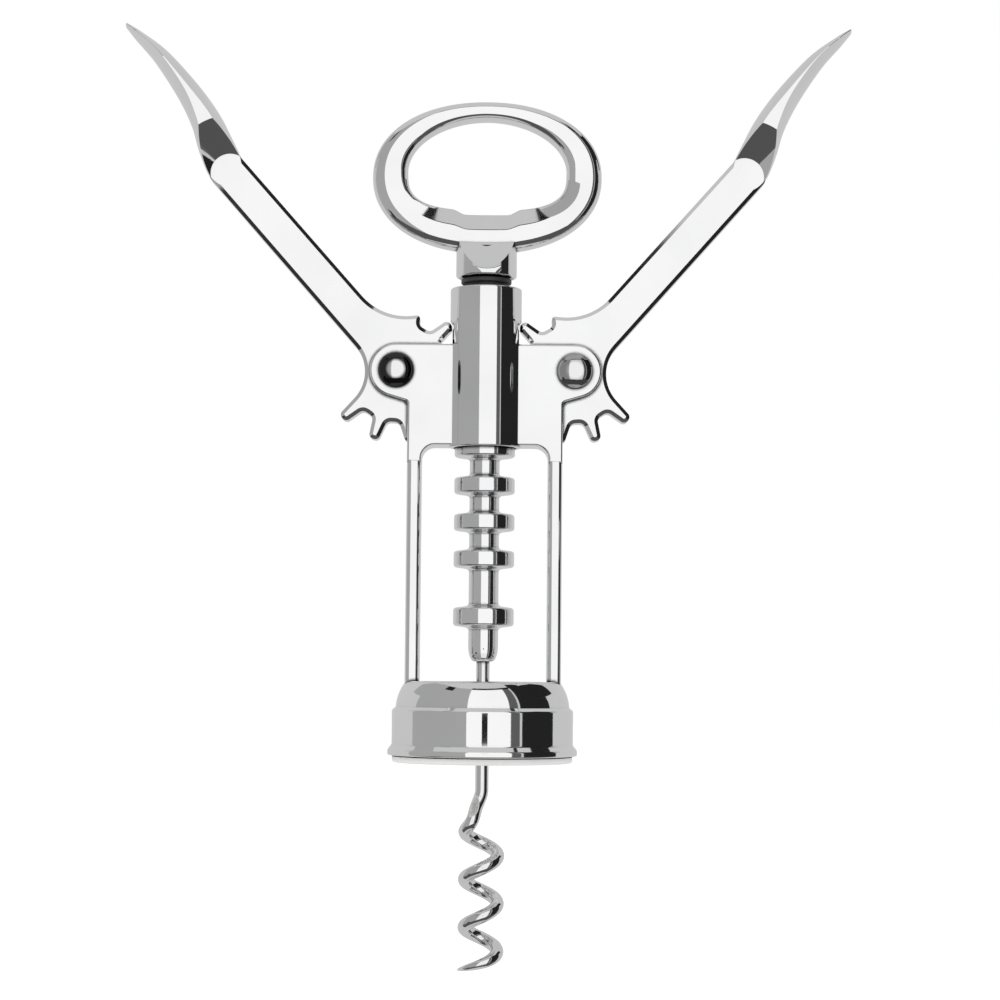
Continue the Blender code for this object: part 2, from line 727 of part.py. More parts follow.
def ring_profile(height, rim_height):
    """Profile of one rack ring, top to bottom: sloping flanks and a rounded rim."""
    depth = RING_RADIUS - CORE_RADIUS
    rim = rim_height / 2
    slope = (RING_ROOT - RING_RIM) / 2
    upper = []
    for depth_share, slope_share in RING_PROFILE_SHARES:
        rise = slope_share * slope if slope_share > 0 else slope_share * rim
        upper.append((CORE_RADIUS + depth_share * depth, rim + rise))
    points = [(radius, height + rise) for radius, rise in upper]
    points += [(radius, height - rise) for radius, rise in reversed(upper)]
    return points


def build_shaft(parts, screw_axis):
    profile = [(0, SHAFT_TOP_Z), (CORE_RADIUS, SHAFT_TOP_Z)]
    for index in range(RACK_RINGS):
        profile += ring_profile(PIN_Z + TOP_RING_OFFSET - index * RACK_PITCH, RING_RIM)
    profile += ring_profile(PIN_Z + STOP_RING_OFFSET, STOP_RING_RIM)
    profile += [
        (CORE_RADIUS, SHAFT_END_Z + SHAFT_CONE),
        (SHAFT_END_RADIUS, SHAFT_END_Z),
        (SHAFT_END_BORE, SHAFT_END_Z),
        (SHAFT_END_BORE, SHAFT_END_Z + WORM_SEAT + FIT_GAP),
        (0, SHAFT_END_Z + WORM_SEAT + FIT_GAP),
    ]
    shaft = turned("rack_shaft", profile, SHAFT_SEGMENTS, parts)
    shaft.parent = screw_axis
    add_material(shaft, CHROME)


def worm_points():
    """Centre line of the worm with the wire's share of its full radius, from its seat to its tip."""
    bend_z = SHAFT_END_Z - WORM_STRAIGHT
    full_z = bend_z - WORM_LEAD_IN
    lead_turns = WORM_LEAD_IN / WORM_PITCH
    points = [(0, 0, SHAFT_END_Z + WORM_SEAT, 1)]
    steps = math.ceil((lead_turns + WORM_TURNS) * WORM_POINTS_PER_TURN)
    for step in range(steps + 1):
        turns = (lead_turns + WORM_TURNS) * step / steps - lead_turns
        above = max(0, -turns / lead_turns)
        swing = max(0, turns) - lead_turns * above * (1 - above) ** 2
        taper = max(0, 1 - (WORM_TURNS - turns) / WORM_TAPER_TURNS)
        share = WORM_TIP_SHARE + (1 - WORM_TIP_SHARE) * math.cos(math.pi / 2 * taper)
        angle = math.pi - math.tau * swing
        reach = (WORM_RADIUS - share * WIRE_RADIUS) * (1 - above) ** 2 * (1 + 2 * above)
        height = full_z - turns * WORM_PITCH + WORM_TIP_LIFT * taper ** 2
        points.append((reach * math.cos(angle), reach * math.sin(angle), height, share))
    return points


def build_worm(parts, screw_axis):
    curve = bpy.data.curves.new("worm", "CURVE")
    curve.dimensions = "3D"
    curve.bevel_depth = WIRE_RADIUS
    curve.bevel_resolution = 2
    curve.use_fill_caps = True
    points = worm_points()
    spline = curve.splines.new("POLY")
    spline.points.add(len(points) - 1)
    for point, (x, y, z, share) in zip(spline.points, points):
        point.co = (x, y, z, 1)
        point.radius = share
    item = bpy.data.objects.new("worm", curve)
    parts.objects.link(item)
    worm = solid_from_curve(item, "worm", parts)
    worm.parent = screw_axis
    add_material(worm, STEEL)


def build_bush(parts, slide_axis):
    top = NECK_BOTTOM_Z - FIT_GAP
    bottom = PIN_Z + TOP_RING_OFFSET + RING_ROOT / 2 + FIT_GAP
    bore = CORE_RADIUS + FIT_GAP
    profile = [
        (bore, top),
        (BUSH_FLANGE_RADIUS, top),
        (BUSH_FLANGE_RADIUS, top - BUSH_FLANGE),
        (BUSH_SLEEVE_RADIUS, top - BUSH_FLANGE),
        (BUSH_SLEEVE_RADIUS, bottom),
        (bore, bottom),
    ]
    bush = turned("shaft_bush", profile, SHAFT_SEGMENTS, parts, closed=True)
    bush.parent = slide_axis
    add_material(bush, BLACK_PLASTIC)


def oval_point(angle, half_width, half_height, power):
    cosine = math.cos(angle)
    sine = math.sin(angle)
    x = half_width * math.copysign(abs(cosine) ** (2 / power), cosine)
    z = half_height * math.copysign(abs(sine) ** (2 / power), sine)
    return Vector((x, z))


def lifter_dip(x, z):
    """How far the opening's lower edge dips under the middle, where the ring lifts a cap."""
    if z > 0:
        return 0
    past = (abs(x) - LIFTER_HALF_WIDTH + LIFTER_EASE / 2) / LIFTER_EASE
    past = min(1, max(0, past))
    return LIFTER_DIP * (1 + math.cos(math.pi * past)) / 2


def handle_sections():
    rings = []
    for station in range(HANDLE_STATIONS):
        angle = math.tau * station / HANDLE_STATIONS
        outer = oval_point(angle, HANDLE_HALF_WIDTH, HANDLE_HALF_HEIGHT, HANDLE_POWER)
        if math.sin(angle) > 0:
            inner = oval_point(angle, OPENING_HALF_WIDTH, OPENING_ABOVE, OPENING_UPPER_POWER)
        else:
            inner = oval_point(angle, OPENING_HALF_WIDTH, OPENING_BELOW, OPENING_LOWER_POWER)
        inner.y += OPENING_RISE - lifter_dip(inner.x, inner.y)
        middle = (outer + inner) / 2
        across = (outer - inner) / 2
        ring = []
        for step in range(HANDLE_SECTION_STEPS):
            turn = math.tau * step / HANDLE_SECTION_STEPS
            point = middle + across * math.cos(turn)
            ring.append((point.x, HANDLE_DEPTH / 2 * math.sin(turn), point.y))
        rings.append(ring)
    return rings


def facet_outline(side):
    """Side view of the wedge milled off the neck's front or back, deepest under the ring."""
    low_z = NECK_TOP_Z - NECK_FACET_HEIGHT
    slope = Vector((NECK_RADIUS - NECK_FACET_HALF, low_z - NECK_TOP_Z))
    step = slope.normalized() * CUT_OVERRUN
    points = [
        (NECK_FACET_HALF - step.x, NECK_TOP_Z - step.y),
        (NECK_RADIUS + step.x, low_z + step.y),
        (NECK_RADIUS + step.x, NECK_TOP_Z - step.y),
    ]
    return [(side * y, z) for y, z in points]


def build_handle(parts, cutters, screw_axis):
    profile = [
        (0, NECK_TOP_Z),
        (NECK_RADIUS, NECK_TOP_Z),
        (NECK_RADIUS, NECK_BOTTOM_Z + NECK_EDGE),
        (NECK_RADIUS - NECK_EDGE, NECK_BOTTOM_Z),
        (0, NECK_BOTTOM_Z),
    ]
    handle = turned("handle", profile, SHAFT_SEGMENTS, parts)
    for side in (-1, 1):
        wedge = plate("neck_facet", facet_outline(side), 2 * NECK_RADIUS, "YZ", cutters)
        boolean(handle, wedge, "DIFFERENCE")
    ring = loft("handle_ring", handle_sections(), cutters, closed=True, place=(0, 0, HANDLE_Z))
    boolean(handle, ring, "UNION")
    bore_matrix = Matrix.Translation((0, 0, NECK_BOTTOM_Z))
    bore = cylinder("neck_bore", NECK_BORE, NECK_BORE_DEPTH, SHAFT_SEGMENTS, cutters, bore_matrix)
    boolean(handle, bore, "DIFFERENCE")
    handle.parent = screw_axis
    add_material(handle, CHROME)


def add_axis(name, place, parts):
    """Empty that marks a joint's axis and carries the pieces that move on it."""
    empty = bpy.data.objects.new(name, None)
    empty.location = place
    parts.objects.link(empty)
    return empty


def main():
    clear_scene()
    parts = new_collection("wing_corkscrew")
    cutters = new_collection("cutters")
    slide_axis = add_axis("slide_axis", (0, 0, SEAT_Z), parts)
    screw_axis = add_axis("screw_axis", (0, 0, SEAT_Z), parts)
    screw_axis.parent = slide_axis
    build_bell(parts, cutters)
    build_insert(parts)
    build_frame(parts, cutters)
    build_lever("left_lever", 1, parts, cutters)
    build_lever("right_lever", -1, parts, cutters)
    build_rivet("left_rivet", -1, parts)
    build_rivet("right_rivet", 1, parts)
    build_shaft(parts, screw_axis)
    build_worm(parts, screw_axis)
    build_bush(parts, slide_axis)
    build_handle(parts, cutters, screw_axis)
    bpy.context.view_layer.update()


main()
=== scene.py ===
"""Looks of the wing corkscrew: finely shaped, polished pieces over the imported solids.

A plain studio stands round them, with cards that give the polish its bright and dark bands.

The shapes follow the same sizes as the solids, in metres, with the screw axis on Z.
"""

import json
import math

import bmesh
import bpy
from mathutils import Matrix, Vector

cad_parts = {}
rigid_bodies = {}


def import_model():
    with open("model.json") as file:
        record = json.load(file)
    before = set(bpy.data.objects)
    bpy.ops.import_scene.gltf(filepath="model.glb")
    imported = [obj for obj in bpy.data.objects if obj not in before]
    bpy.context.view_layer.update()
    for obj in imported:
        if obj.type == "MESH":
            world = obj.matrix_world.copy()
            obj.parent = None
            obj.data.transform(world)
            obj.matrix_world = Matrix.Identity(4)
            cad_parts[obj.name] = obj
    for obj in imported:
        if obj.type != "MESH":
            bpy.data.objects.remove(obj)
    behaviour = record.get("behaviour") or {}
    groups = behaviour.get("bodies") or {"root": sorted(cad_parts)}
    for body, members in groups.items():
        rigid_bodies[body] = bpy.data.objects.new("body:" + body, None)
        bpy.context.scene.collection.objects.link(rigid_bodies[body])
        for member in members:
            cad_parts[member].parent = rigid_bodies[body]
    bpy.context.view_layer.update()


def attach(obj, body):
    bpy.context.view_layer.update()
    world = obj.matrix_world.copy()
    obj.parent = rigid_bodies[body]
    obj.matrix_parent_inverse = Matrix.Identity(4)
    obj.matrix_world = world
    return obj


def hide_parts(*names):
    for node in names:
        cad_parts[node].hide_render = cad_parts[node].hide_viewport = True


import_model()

# Clearances
FIT_GAP = 0.00025
RUN_GAP = 0.0003
BORE_GAP = 0.00025
WORM_GAP = 0.0005
POCKET_GAP = 0.0005
TOOTH_TIP_GAP = 0.0005
CUT_OVERRUN = 0.002

# Bottle guide and bell
BOTTLE_BORE = 0.0149
INSERT_WALL = 0.0009
INSERT_WEB = 0.0015
INSERT_FLANGE = 0.0012
INSERT_FLANGE_INSET = 0.00095
BELL_WALL = 0.00155
BELL_TOP_WALL = 0.0016
BELL_HEIGHT = 0.0150
BELL_SHOULDER_FLARE = 0.0013
BELL_STEP_DROP = 0.0052
BELL_STEP_HEIGHT = 0.0007
BELL_STEP_FLARE = 0.00105
BELL_RIM_FLARE = 0.0007
BELL_RIM_HEIGHT = 0.0022
BELL_LEDGE = 0.0004
BELL_EDGE = 0.0003

# Rack shaft
RACK_PITCH = 0.00754
RACK_RINGS = 8
RINGS_ABOVE_MESH = 2
CORE_RADIUS = 0.00305
RING_RADIUS = 0.0062
RING_ROOT = 0.0049
RING_RIM = 0.0032
RING_PROFILE_SHARES = (
    (0.0, 1.0), (0.12, 0.55), (0.45, 0.30), (0.80, 0.12), (0.90, 0.0), (0.965, -0.10), (1.0, -0.28),
)
STOP_RING_RIM = 0.0036
STOP_RING_DROP = 0.0118
SHAFT_TAIL = 0.00685
SHAFT_CONE = 0.00225
SHAFT_END_WALL = 0.0002
SHAFT_ABOVE_BELL = 0.0041

# Worm
WIRE_RADIUS = 0.00135
WORM_RADIUS = 0.00470
WORM_PITCH = 0.00965
WORM_TURNS = 3
WORM_STRAIGHT = 0.0260
WORM_LEAD_IN = 0.0086
WORM_SEAT = 0.0080
WORM_TAPER_TURNS = 0.5
WORM_TIP_LIFT = 0.0011
WORM_TIP_SHARE = 0.12
WORM_POINTS_PER_TURN = 64

# Gears and levers
TEETH_PER_TURN = 12
TEETH = 7
TEETH_ABOVE_MESH = 2
PITCH_LINE_SHARE = 0.270
REST_TOOTH_ANGLE = math.radians(11.8)
GEAR_ROOT_GAP = 0.00165
TOOTH_TIP_WIDTH = 0.0020
TOOTH_ROOT_WIDTH = 0.0030
TOOTH_TIP_ROUND = 0.0010
TOOTH_ROOT_ROUND = 0.0013
LEVER_THICKNESS = 0.0048
ARM_ANGLE = math.radians(131.45)
ARM_LENGTH = 0.0565
ARM_ABOVE = 0.0048
ARM_BELOW = 0.0030
ARM_TAPER = 0.0001
ARM_END_ROUND = 0.0012
SHOULDER_PITCH_SHARE = 0.85
SHOULDER_NOTCH_SHARE = 0.75
SHOULDER_RADIUS = 0.0126
SHOULDER_ROUND = 0.0007
NECK_REACH = 0.0101
NECK_ROUND = 0.0123
WAIST_REACH = 0.0022
WAIST_ROUND = 0.0081

# Grip paddle: reach past the arm's end, rise, width, depth and front facet, as shares of the sizes
PADDLE_LENGTH = 0.0350
PADDLE_RISE = 0.0066
PADDLE_WIDTH = 0.0080
PADDLE_DEPTH = 0.0142
PADDLE_SHARES = (
    (-0.12, 0.14, 0.70, 0.97, 0.62),
    (-0.04, 0.14, 0.94, 0.97, 0.62),
    (0.10, 0.36, 0.93, 0.98, 0.58),
    (0.26, 0.65, 0.79, 1.00, 0.42),
    (0.46, 0.84, 0.63, 1.00, 0.17),
    (0.72, 0.92, 0.44, 0.93, 0.03),
    (0.91, 0.82, 0.25, 0.68, 0.05),
    (1.00, 0.76, 0.11, 0.36, 0.15),
)
PADDLE_STEPS = 8
PADDLE_ARC_STEPS = 16

# Pivots
RIVET_RADIUS = 0.0024
RIVET_HEAD_RADIUS = 0.00365
RIVET_HEAD_HEIGHT = 0.0019
RIVET_HEAD_STEPS = 16

# Frame
PLATE_THICKNESS = 0.0014
EAR_RADIUS = 0.00545
EAR_SLANT_DROP = 0.0064
EAR_SLANT_ROUND = 0.0006
LEG_WIDTH = 0.0029
WINDOW_ROUND = 0.0030
WINDOW_BELOW_POCKET = 0.0001
FRAME_EDGE = 0.0005
BARREL_WALL = 0.00089
BARREL_COVER = 0.0006
BARREL_TAIL = 0.0003
BARREL_EDGE = 0.0004
FILLET_RISE = 0.0006
FILLET_FOOT = 0.00065
FILLET_SINK = 0.0003

# Handle and bush
NECK_STAND_OFF = 0.0023
NECK_INSET = 0.0002
NECK_LENGTH = 0.0080
NECK_INTO_RING = 0.00285
NECK_BORE_DEPTH = 0.0065
NECK_FACET_HEIGHT = 0.0066
NECK_FACET_HALF = 0.0022
HANDLE_HALF_WIDTH = 0.0237
HANDLE_HALF_HEIGHT = 0.0158
HANDLE_DEPTH = 0.0058
OPENING_HALF_WIDTH = 0.0164
OPENING_ABOVE = 0.0106
OPENING_BELOW = 0.0080
OPENING_RISE = 0.0012
LIFTER_HALF_WIDTH = 0.0058
LIFTER_EASE = 0.0030
LIFTER_DIP = 0.0010
HANDLE_POWER = 2.15
OPENING_UPPER_POWER = 1.95
OPENING_LOWER_POWER = 3.1
HANDLE_STATIONS = 200
HANDLE_SECTION_STEPS = 44
BUSH_FLANGE_RADIUS = 0.0052
BUSH_SLEEVE_RADIUS = 0.00425
BUSH_FLANGE = 0.0010

# Fineness
ARC_STEP = math.radians(5)
BELL_SEGMENTS = 160
BARREL_SEGMENTS = 144
SHAFT_SEGMENTS = 96
SMALL_SEGMENTS = 64
SMOOTH_ANGLE = math.radians(40)
FILLET_REACH_SHARE = 0.78
WELD_SHARE = 0.001
TINY_TURN = 0.01
EDGE_STEPS = 4
RING_STEPS = 2
NOSE_STEPS = 10
WIRE_STEPS = 8
SHOULDER_STEPS = 16

# Rounding, chamfers and slopes that the solids don't have
FLAT_FACE_WEIGHT = 90
CRISP_ANGLE = math.radians(18)
PLATE_CRISP_ANGLE = math.radians(21)
SHOULDER_TOP_LEAN = math.radians(36)
SHOULDER_FOOT_LEAN = math.radians(4)
BELL_SHOULDER_REACH = 0.01772
BELL_BAND_REACH = 0.0185
LEG_EDGE = 0.0010
LEG_TUCK = 0.00002
PLATE_SKIRT = 0.0005
CHAMFER_WIDTH = 0.00075
CHAMFER_DEPTH = 0.00049
ARCH_CENTRE = 0.0536
ARCH_RADIUS = 0.0040
ARCH_LEAN = math.radians(34)
NOSE_HEIGHT = 0.0032
NECK_ROUNDING = 0.0005
SECTION_POWER = 2.5
FLANK_MOST = 0.62
FLANK_LEAST = 0.08

# Noise of the finishes: scale and detail, and the values between which rubbed patches grow
PATCHES = (55, 4)
PATCH_RANGE = (0.42, 0.68)
HAIRLINES = (700, 2)
SMUDGES = (120, 5)
CASTING_WAVES = (60, 1)
FLOW_MARKS = (90, 4)
SHEEN_SPOTS = (300, 3)
MOULD_GRAIN = (1400, 3)
NOISE_RANGE = (0.3, 0.7)

# Painted shade in the corners and seams, and a painted dark reflection ring round the pins from one
# reach to the other
CREVICE_SHADE_COLOUR = (0.02, 0.02, 0.02)
CREVICE_REACH = 0.0011
CREVICE_SAMPLES = 8
CREVICE_RANGE = (0.62, 0.88)
PAINTED_RING_START = 0.0015
PAINTED_RING_END = 0.0021

# Plated finishes: colour, roughness, height of the casting waves and of the hairlines, the stretch
# of the hairlines, and where a dark reflection is painted as a ring round a pin, the pin's side and
# the tone
BRIGHT = (0.88, 0.88, 0.885)
RUBBED = (0.84, 0.84, 0.85)
WIRE = (0.80, 0.80, 0.81)
PLATED = {
    "chrome_casting": (BRIGHT, (0.02, 0.06), 0.00003, 0.0000006, (1, 1, 0.05), None),
    "chrome_lever": (BRIGHT, (0.02, 0.07), 0.00004, 0.0000006, (0.1, 1, 0.1), None),
    "chrome_bell": (BRIGHT, (0.03, 0.07), 0.00001, 0.0000005, (0.1, 0.1, 2), None),
    "chrome_handle": (BRIGHT, (0.02, 0.06), 0.00004, 0.0000005, (0.3, 1, 0.3), None),
    "chrome_shaft": (BRIGHT, (0.04, 0.10), 0.00001, 0.0000008, (0.1, 0.1, 2), None),
    "steel_worm": (WIRE, (0.05, 0.12), 0.00001, 0.0000003, (1, 1, 0.2), None),
    # The rivets' last entries paint a dark reflection ring on the dome's rim: near black on the
    # left, grey on the right
    "steel_left_rivet": (WIRE, (0.06, 0.16), 0.00005, 0.000001, (1, 0.2, 1), (-1, 0.05)),
    "steel_right_rivet": (WIRE, (0.06, 0.16), 0.00005, 0.000001, (1, 0.2, 1), (1, 0.5)),
}

# Moulded finishes: colour, worn colour, roughness and height of the grain
MOULDED = {
    "white_plastic": ((0.94, 0.94, 0.935), (0.89, 0.88, 0.86), (0.35, 0.50), 0.000004),
    "black_plastic": ((0.030, 0.030, 0.031), (0.055, 0.054, 0.052), (0.40, 0.55), 0.000006),
}

# Colour sockets of the mix node, where several share one name
MIX_INPUTS = (6, 7)
MIX_OUTPUT = 2

# Studio
WHITE = (1, 1, 1)
FLOOR_Z = -0.0641
FLOOR_HALF = 3.0
FLOOR_COLOUR = (0.82, 0.82, 0.82)
FLOOR_ROUGHNESS = 0.9
FLOOR_LIFT = 0.32
ROOM_LIGHT = (0.9, 0.9, 0.9)
ROOM_IN_METAL = (0.61, 0.61, 0.61)
LAMP_SIZE = 0.8
LAMP_POWER = 3
LAMP_PLACE = Vector((-0.5, -0.7, 1.0))
VIEW_X = 0.0032
VIEW_DISTANCE = 0.5125
VIEW_Z = 0.0050
TARGET_Z = 0.0406
VIEW_ROLL = math.radians(0.5)
CAMERA_LENS = 90
CAMERA_SENSOR = 36
CAMERA_CLIP = 0.01

# Cards that only the polish sees: far ones by name, azimuths, elevations and level, each a little
# nearer than the one before, and near ones by name, start, end, reach to the sides and level
CARD_CENTRE = Vector((0, 0, 0.05))
CARD_RADIUS = 0.9
CARD_SPACING = 0.002
CARD_STEPS = 24
FAR_CARDS = (
    ("front_white", (-19.5, 36), (-28, 50), 1.05),
    ("upper_line", (-19.5, 50), (50, 54), 0.01),
    ("right_grey", (36, 48), (-50, 50), 0.115),
    ("right_black", (51, 100), (-28, 20), 0.018),
    ("right_black_above", (51, 118), (20, 52), 0.018),
    ("right_black_high", (50, 75), (52, 62), 0.018),
    ("left_grey", (-98, -19.5), (-28, 20), 0.40),
    ("left_grey_above", (-118, -19.5), (20, 52), 0.40),
    ("lower_dark", (-98, 100), (-62, -28), 0.09),
    ("left_black", (-67, -51), (43, 51.5), 0.018),
    ("left_dark", (-68, -52), (-30, -20), 0.03),
)
NEAR_CARDS = (
    ("bell_slit", (0.0063, -0.12, -0.0120), (0.0063, -0.12, -0.004), 0.007, 0.02),
)

# Sizes that follow from the driving ones
WELD = FIT_GAP * WELD_SHARE
PITCH_RADIUS = TEETH_PER_TURN * RACK_PITCH / math.tau
TOOTH_PITCH = math.tau / TEETH_PER_TURN
PIN_X = PITCH_RADIUS + CORE_RADIUS + PITCH_LINE_SHARE * (RING_RADIUS - CORE_RADIUS)
GEAR_RADIUS = PIN_X - CORE_RADIUS - TOOTH_TIP_GAP
GEAR_ROOT = PIN_X - RING_RADIUS - GEAR_ROOT_GAP
POCKET_RADIUS = GEAR_RADIUS + POCKET_GAP
SLOT_HALF = LEVER_THICKNESS / 2 + RUN_GAP
PLATE_FACE = SLOT_HALF + PLATE_THICKNESS
BARREL_BORE = RING_RADIUS + BORE_GAP
BARREL_RADIUS = BARREL_BORE + BARREL_WALL
PIN_HOLE = RIVET_RADIUS + FIT_GAP

INSERT_RADIUS = BOTTLE_BORE + INSERT_WALL
BELL_BORE = INSERT_RADIUS + FIT_GAP
BELL_SHOULDER = BELL_BORE + BELL_WALL
BELL_TOP_RADIUS = BELL_SHOULDER - BELL_SHOULDER_FLARE
BELL_BAND = BELL_SHOULDER + BELL_STEP_FLARE
BELL_RIM = BELL_BAND + BELL_RIM_FLARE
LEG_OUTER = BELL_TOP_RADIUS - BELL_LEDGE
LEG_INNER = LEG_OUTER - LEG_WIDTH
WEB_HOLE = WORM_RADIUS + WORM_GAP
BELL_HOLE = WEB_HOLE + WORM_GAP

SEAT_Z = 0.0
WEB_TOP_Z = SEAT_Z + INSERT_WEB
BELL_INNER_TOP_Z = WEB_TOP_Z + FIT_GAP
BELL_TOP_Z = BELL_INNER_TOP_Z + BELL_TOP_WALL
BELL_RIM_Z = BELL_TOP_Z - BELL_HEIGHT
FLANGE_TOP_Z = BELL_RIM_Z - FIT_GAP
FLANGE_BOTTOM_Z = FLANGE_TOP_Z - INSERT_FLANGE
LEG_FOOT_Z = BELL_TOP_Z + FIT_GAP

MESH_RING_OFFSET = PITCH_RADIUS * REST_TOOTH_ANGLE - RACK_PITCH / 2
TOP_RING_OFFSET = MESH_RING_OFFSET + RINGS_ABOVE_MESH * RACK_PITCH
LOW_RING_OFFSET = TOP_RING_OFFSET - (RACK_RINGS - 1) * RACK_PITCH
STOP_RING_OFFSET = LOW_RING_OFFSET - STOP_RING_DROP
SHAFT_END_OFFSET = STOP_RING_OFFSET - SHAFT_TAIL - SHAFT_CONE
SHAFT_END_Z = BELL_TOP_Z + SHAFT_ABOVE_BELL
PIN_Z = SHAFT_END_Z - SHAFT_END_OFFSET
WINDOW_TOP_Z = PIN_Z - POCKET_RADIUS - WINDOW_BELOW_POCKET
PLATE_TOP_Z = PIN_Z + EAR_RADIUS
BARREL_BOTTOM_Z = WINDOW_TOP_Z - BARREL_TAIL
BARREL_TOP_Z = PIN_Z + TOP_RING_OFFSET + RING_ROOT / 2 + BARREL_COVER
NECK_BOTTOM_Z = BARREL_TOP_Z + NECK_STAND_OFF
NECK_TOP_Z = NECK_BOTTOM_Z + NECK_LENGTH
NECK_RADIUS = BARREL_BORE - NECK_INSET
NECK_BORE = CORE_RADIUS + FIT_GAP
NECK_BORE_TOP_Z = NECK_BOTTOM_Z + NECK_BORE_DEPTH
SHAFT_TOP_Z = NECK_BORE_TOP_Z - FIT_GAP
HANDLE_Z = NECK_TOP_Z - NECK_INTO_RING + HANDLE_HALF_HEIGHT
SHAFT_END_BORE = WIRE_RADIUS + FIT_GAP
SHAFT_END_RADIUS = SHAFT_END_BORE + SHAFT_END_WALL

PLANES = {
    "XY": Matrix.Identity(4),
    "XZ": Matrix(((1, 0, 0, 0), (0, 0, -1, 0), (0, 1, 0, 0), (0, 0, 0, 1))),
    "YZ": Matrix(((0, 0, 1, 0), (1, 0, 0, 0), (0, 1, 0, 0), (0, 0, 0, 1))),
}


# Helpers

def new_collection(name):
    collection = bpy.data.collections.new(name)
    bpy.context.scene.collection.children.link(collection)
    return collection


def add_object(name, mesh, collection, matrix=None):
    item = bpy.data.objects.new(name, mesh)
    collection.objects.link(item)
    if matrix is not None:
        item.matrix_world = matrix
    return item


def make_helper(item):
    item.hide_render = True
    item.display_type = "WIRE"
    item.hide_set(True)


def smooth(mesh):
    mesh.shade_smooth()
    mesh.set_sharp_from_angle(angle=SMOOTH_ANGLE)


def boolean(item, other, operation):
    modifier = item.modifiers.new(operation.title() + " " + other.name, "BOOLEAN")
    modifier.operation = operation
    modifier.solver = "EXACT"
    modifier.object = other
    make_helper(other)


def rounded_outline(corners):
    """Points of a closed outline whose corners (x, y, radius) are rounded within their sides."""
    points = []
    count = len(corners)
    for index, (x, y, radius) in enumerate(corners):
        here = Vector((x, y))
        back = Vector(corners[index - 1][:2]) - here
        ahead = Vector(corners[(index + 1) % count][:2]) - here
        turn = math.pi - back.angle(ahead)
        if radius == 0 or turn < TINY_TURN:
            points.append(here)
            continue
        limit = FILLET_REACH_SHARE * min(back.length, ahead.length)
        reach = min(radius * math.tan(turn / 2), limit)
        rounding = reach / math.tan(turn / 2)
        back.normalize()
        ahead.normalize()
        centre = here + (back + ahead).normalized() * rounding / math.cos(turn / 2)
        first = here + back * reach - centre
        last = here + ahead * reach - centre
        sweep = math.atan2(first.x * last.y - first.y * last.x, first.dot(last))
        steps = max(1, math.ceil(abs(sweep) / ARC_STEP))
        for step in range(steps + 1):
            angle = sweep * step / steps
            spoke = Vector((
                first.x * math.cos(angle) - first.y * math.sin(angle),
                first.x * math.sin(angle) + first.y * math.cos(angle),
            ))
            points.append(centre + spoke)
    return points


def polar(radius, angle):
    return Vector((radius * math.cos(angle), radius * math.sin(angle)))


def arc(centre, radius, start, end):
    """Points on an arc from one angle to another, both ends included."""
    steps = max(1, math.ceil(abs(end - start) / ARC_STEP))
    points = []
    for step in range(steps + 1):
        angle = start + (end - start) * step / steps
        points.append((centre[0] + radius * math.cos(angle), centre[1] + radius * math.sin(angle)))
    return points


def solid_from_curve(curve_object, name, collection):
    """Mesh object with a curve's evaluated shape and place, its caps welded on."""
    bpy.context.view_layer.update()
    graph = bpy.context.evaluated_depsgraph_get()
    mesh = bpy.data.meshes.new_from_object(curve_object.evaluated_get(graph))
    shape = bmesh.new()
    shape.from_mesh(mesh)
    bmesh.ops.remove_doubles(shape, verts=shape.verts, dist=WELD)
    bmesh.ops.recalc_face_normals(shape, faces=shape.faces)
    shape.to_mesh(mesh)
    shape.free()
    smooth(mesh)
    mesh.name = name
    matrix = curve_object.matrix_world.copy()
    curve = curve_object.data
    bpy.data.objects.remove(curve_object, do_unlink=True)
    bpy.data.curves.remove(curve)
    return add_object(name, mesh, collection, matrix)


def plate(
    name, outline, half_thickness, plane, collection,
    edge=0.0, place=(0, 0, 0), edge_depth=None,
):
    """Flat outline in a plane, thickened both ways from it, its edges rounded by edge.

    With edge_depth they are chamfered: edge wide on the face and edge_depth deep on the side.
    """
    squash = 1 if edge_depth is None else edge_depth / edge
    curve = bpy.data.curves.new(name, "CURVE")
    curve.dimensions = "2D"
    curve.fill_mode = "BOTH"
    curve.extrude = half_thickness / squash - edge
    curve.bevel_depth = edge
    curve.offset = -edge
    curve.bevel_resolution = EDGE_STEPS if edge_depth is None else 0
    spline = curve.splines.new("POLY")
    spline.points.add(len(outline) - 1)
    for point, (x, y) in zip(spline.points, outline):
        point.co = (x, y, 0, 1)
    spline.use_cyclic_u = True
    item = bpy.data.objects.new(name, curve)
    collection.objects.link(item)
    item.matrix_world = Matrix.Translation(place) @ PLANES[plane]
    solid = solid_from_curve(item, name, collection)
    solid.data.transform(Matrix.Diagonal((1, 1, squash, 1)))
    return solid


def turned(name, profile, segments, collection, closed=False):
    """Solid turned about Z from a profile of (radius, height) that runs down its outer side."""
    mesh = bpy.data.meshes.new(name)
    edges = [(index, index + 1) for index in range(len(profile) - 1)]
    if closed:
        edges.append((len(profile) - 1, 0))
    mesh.from_pydata([(radius, 0, height) for radius, height in profile], edges, [])
    item = add_object(name, mesh, collection)
    screw = item.modifiers.new("Turn", "SCREW")
    screw.axis = "Z"
    screw.steps = segments
    screw.render_steps = segments
    screw.use_merge_vertices = True
    screw.merge_threshold = WELD
    screw.use_smooth_shade = True
    return item


def mesh_from(shape, name):
    """Mesh of a finished bmesh, which is freed."""
    mesh = bpy.data.meshes.new(name)
    shape.to_mesh(mesh)
    shape.free()
    return mesh


def cone(name, low_radius, high_radius, half_length, segments, collection, matrix):
    shape = bmesh.new()
    bmesh.ops.create_cone(
        shape, cap_ends=True, segments=segments,
        radius1=low_radius, radius2=high_radius, depth=2 * half_length,
    )
    mesh = mesh_from(shape, name)
    smooth(mesh)
    return add_object(name, mesh, collection, matrix)


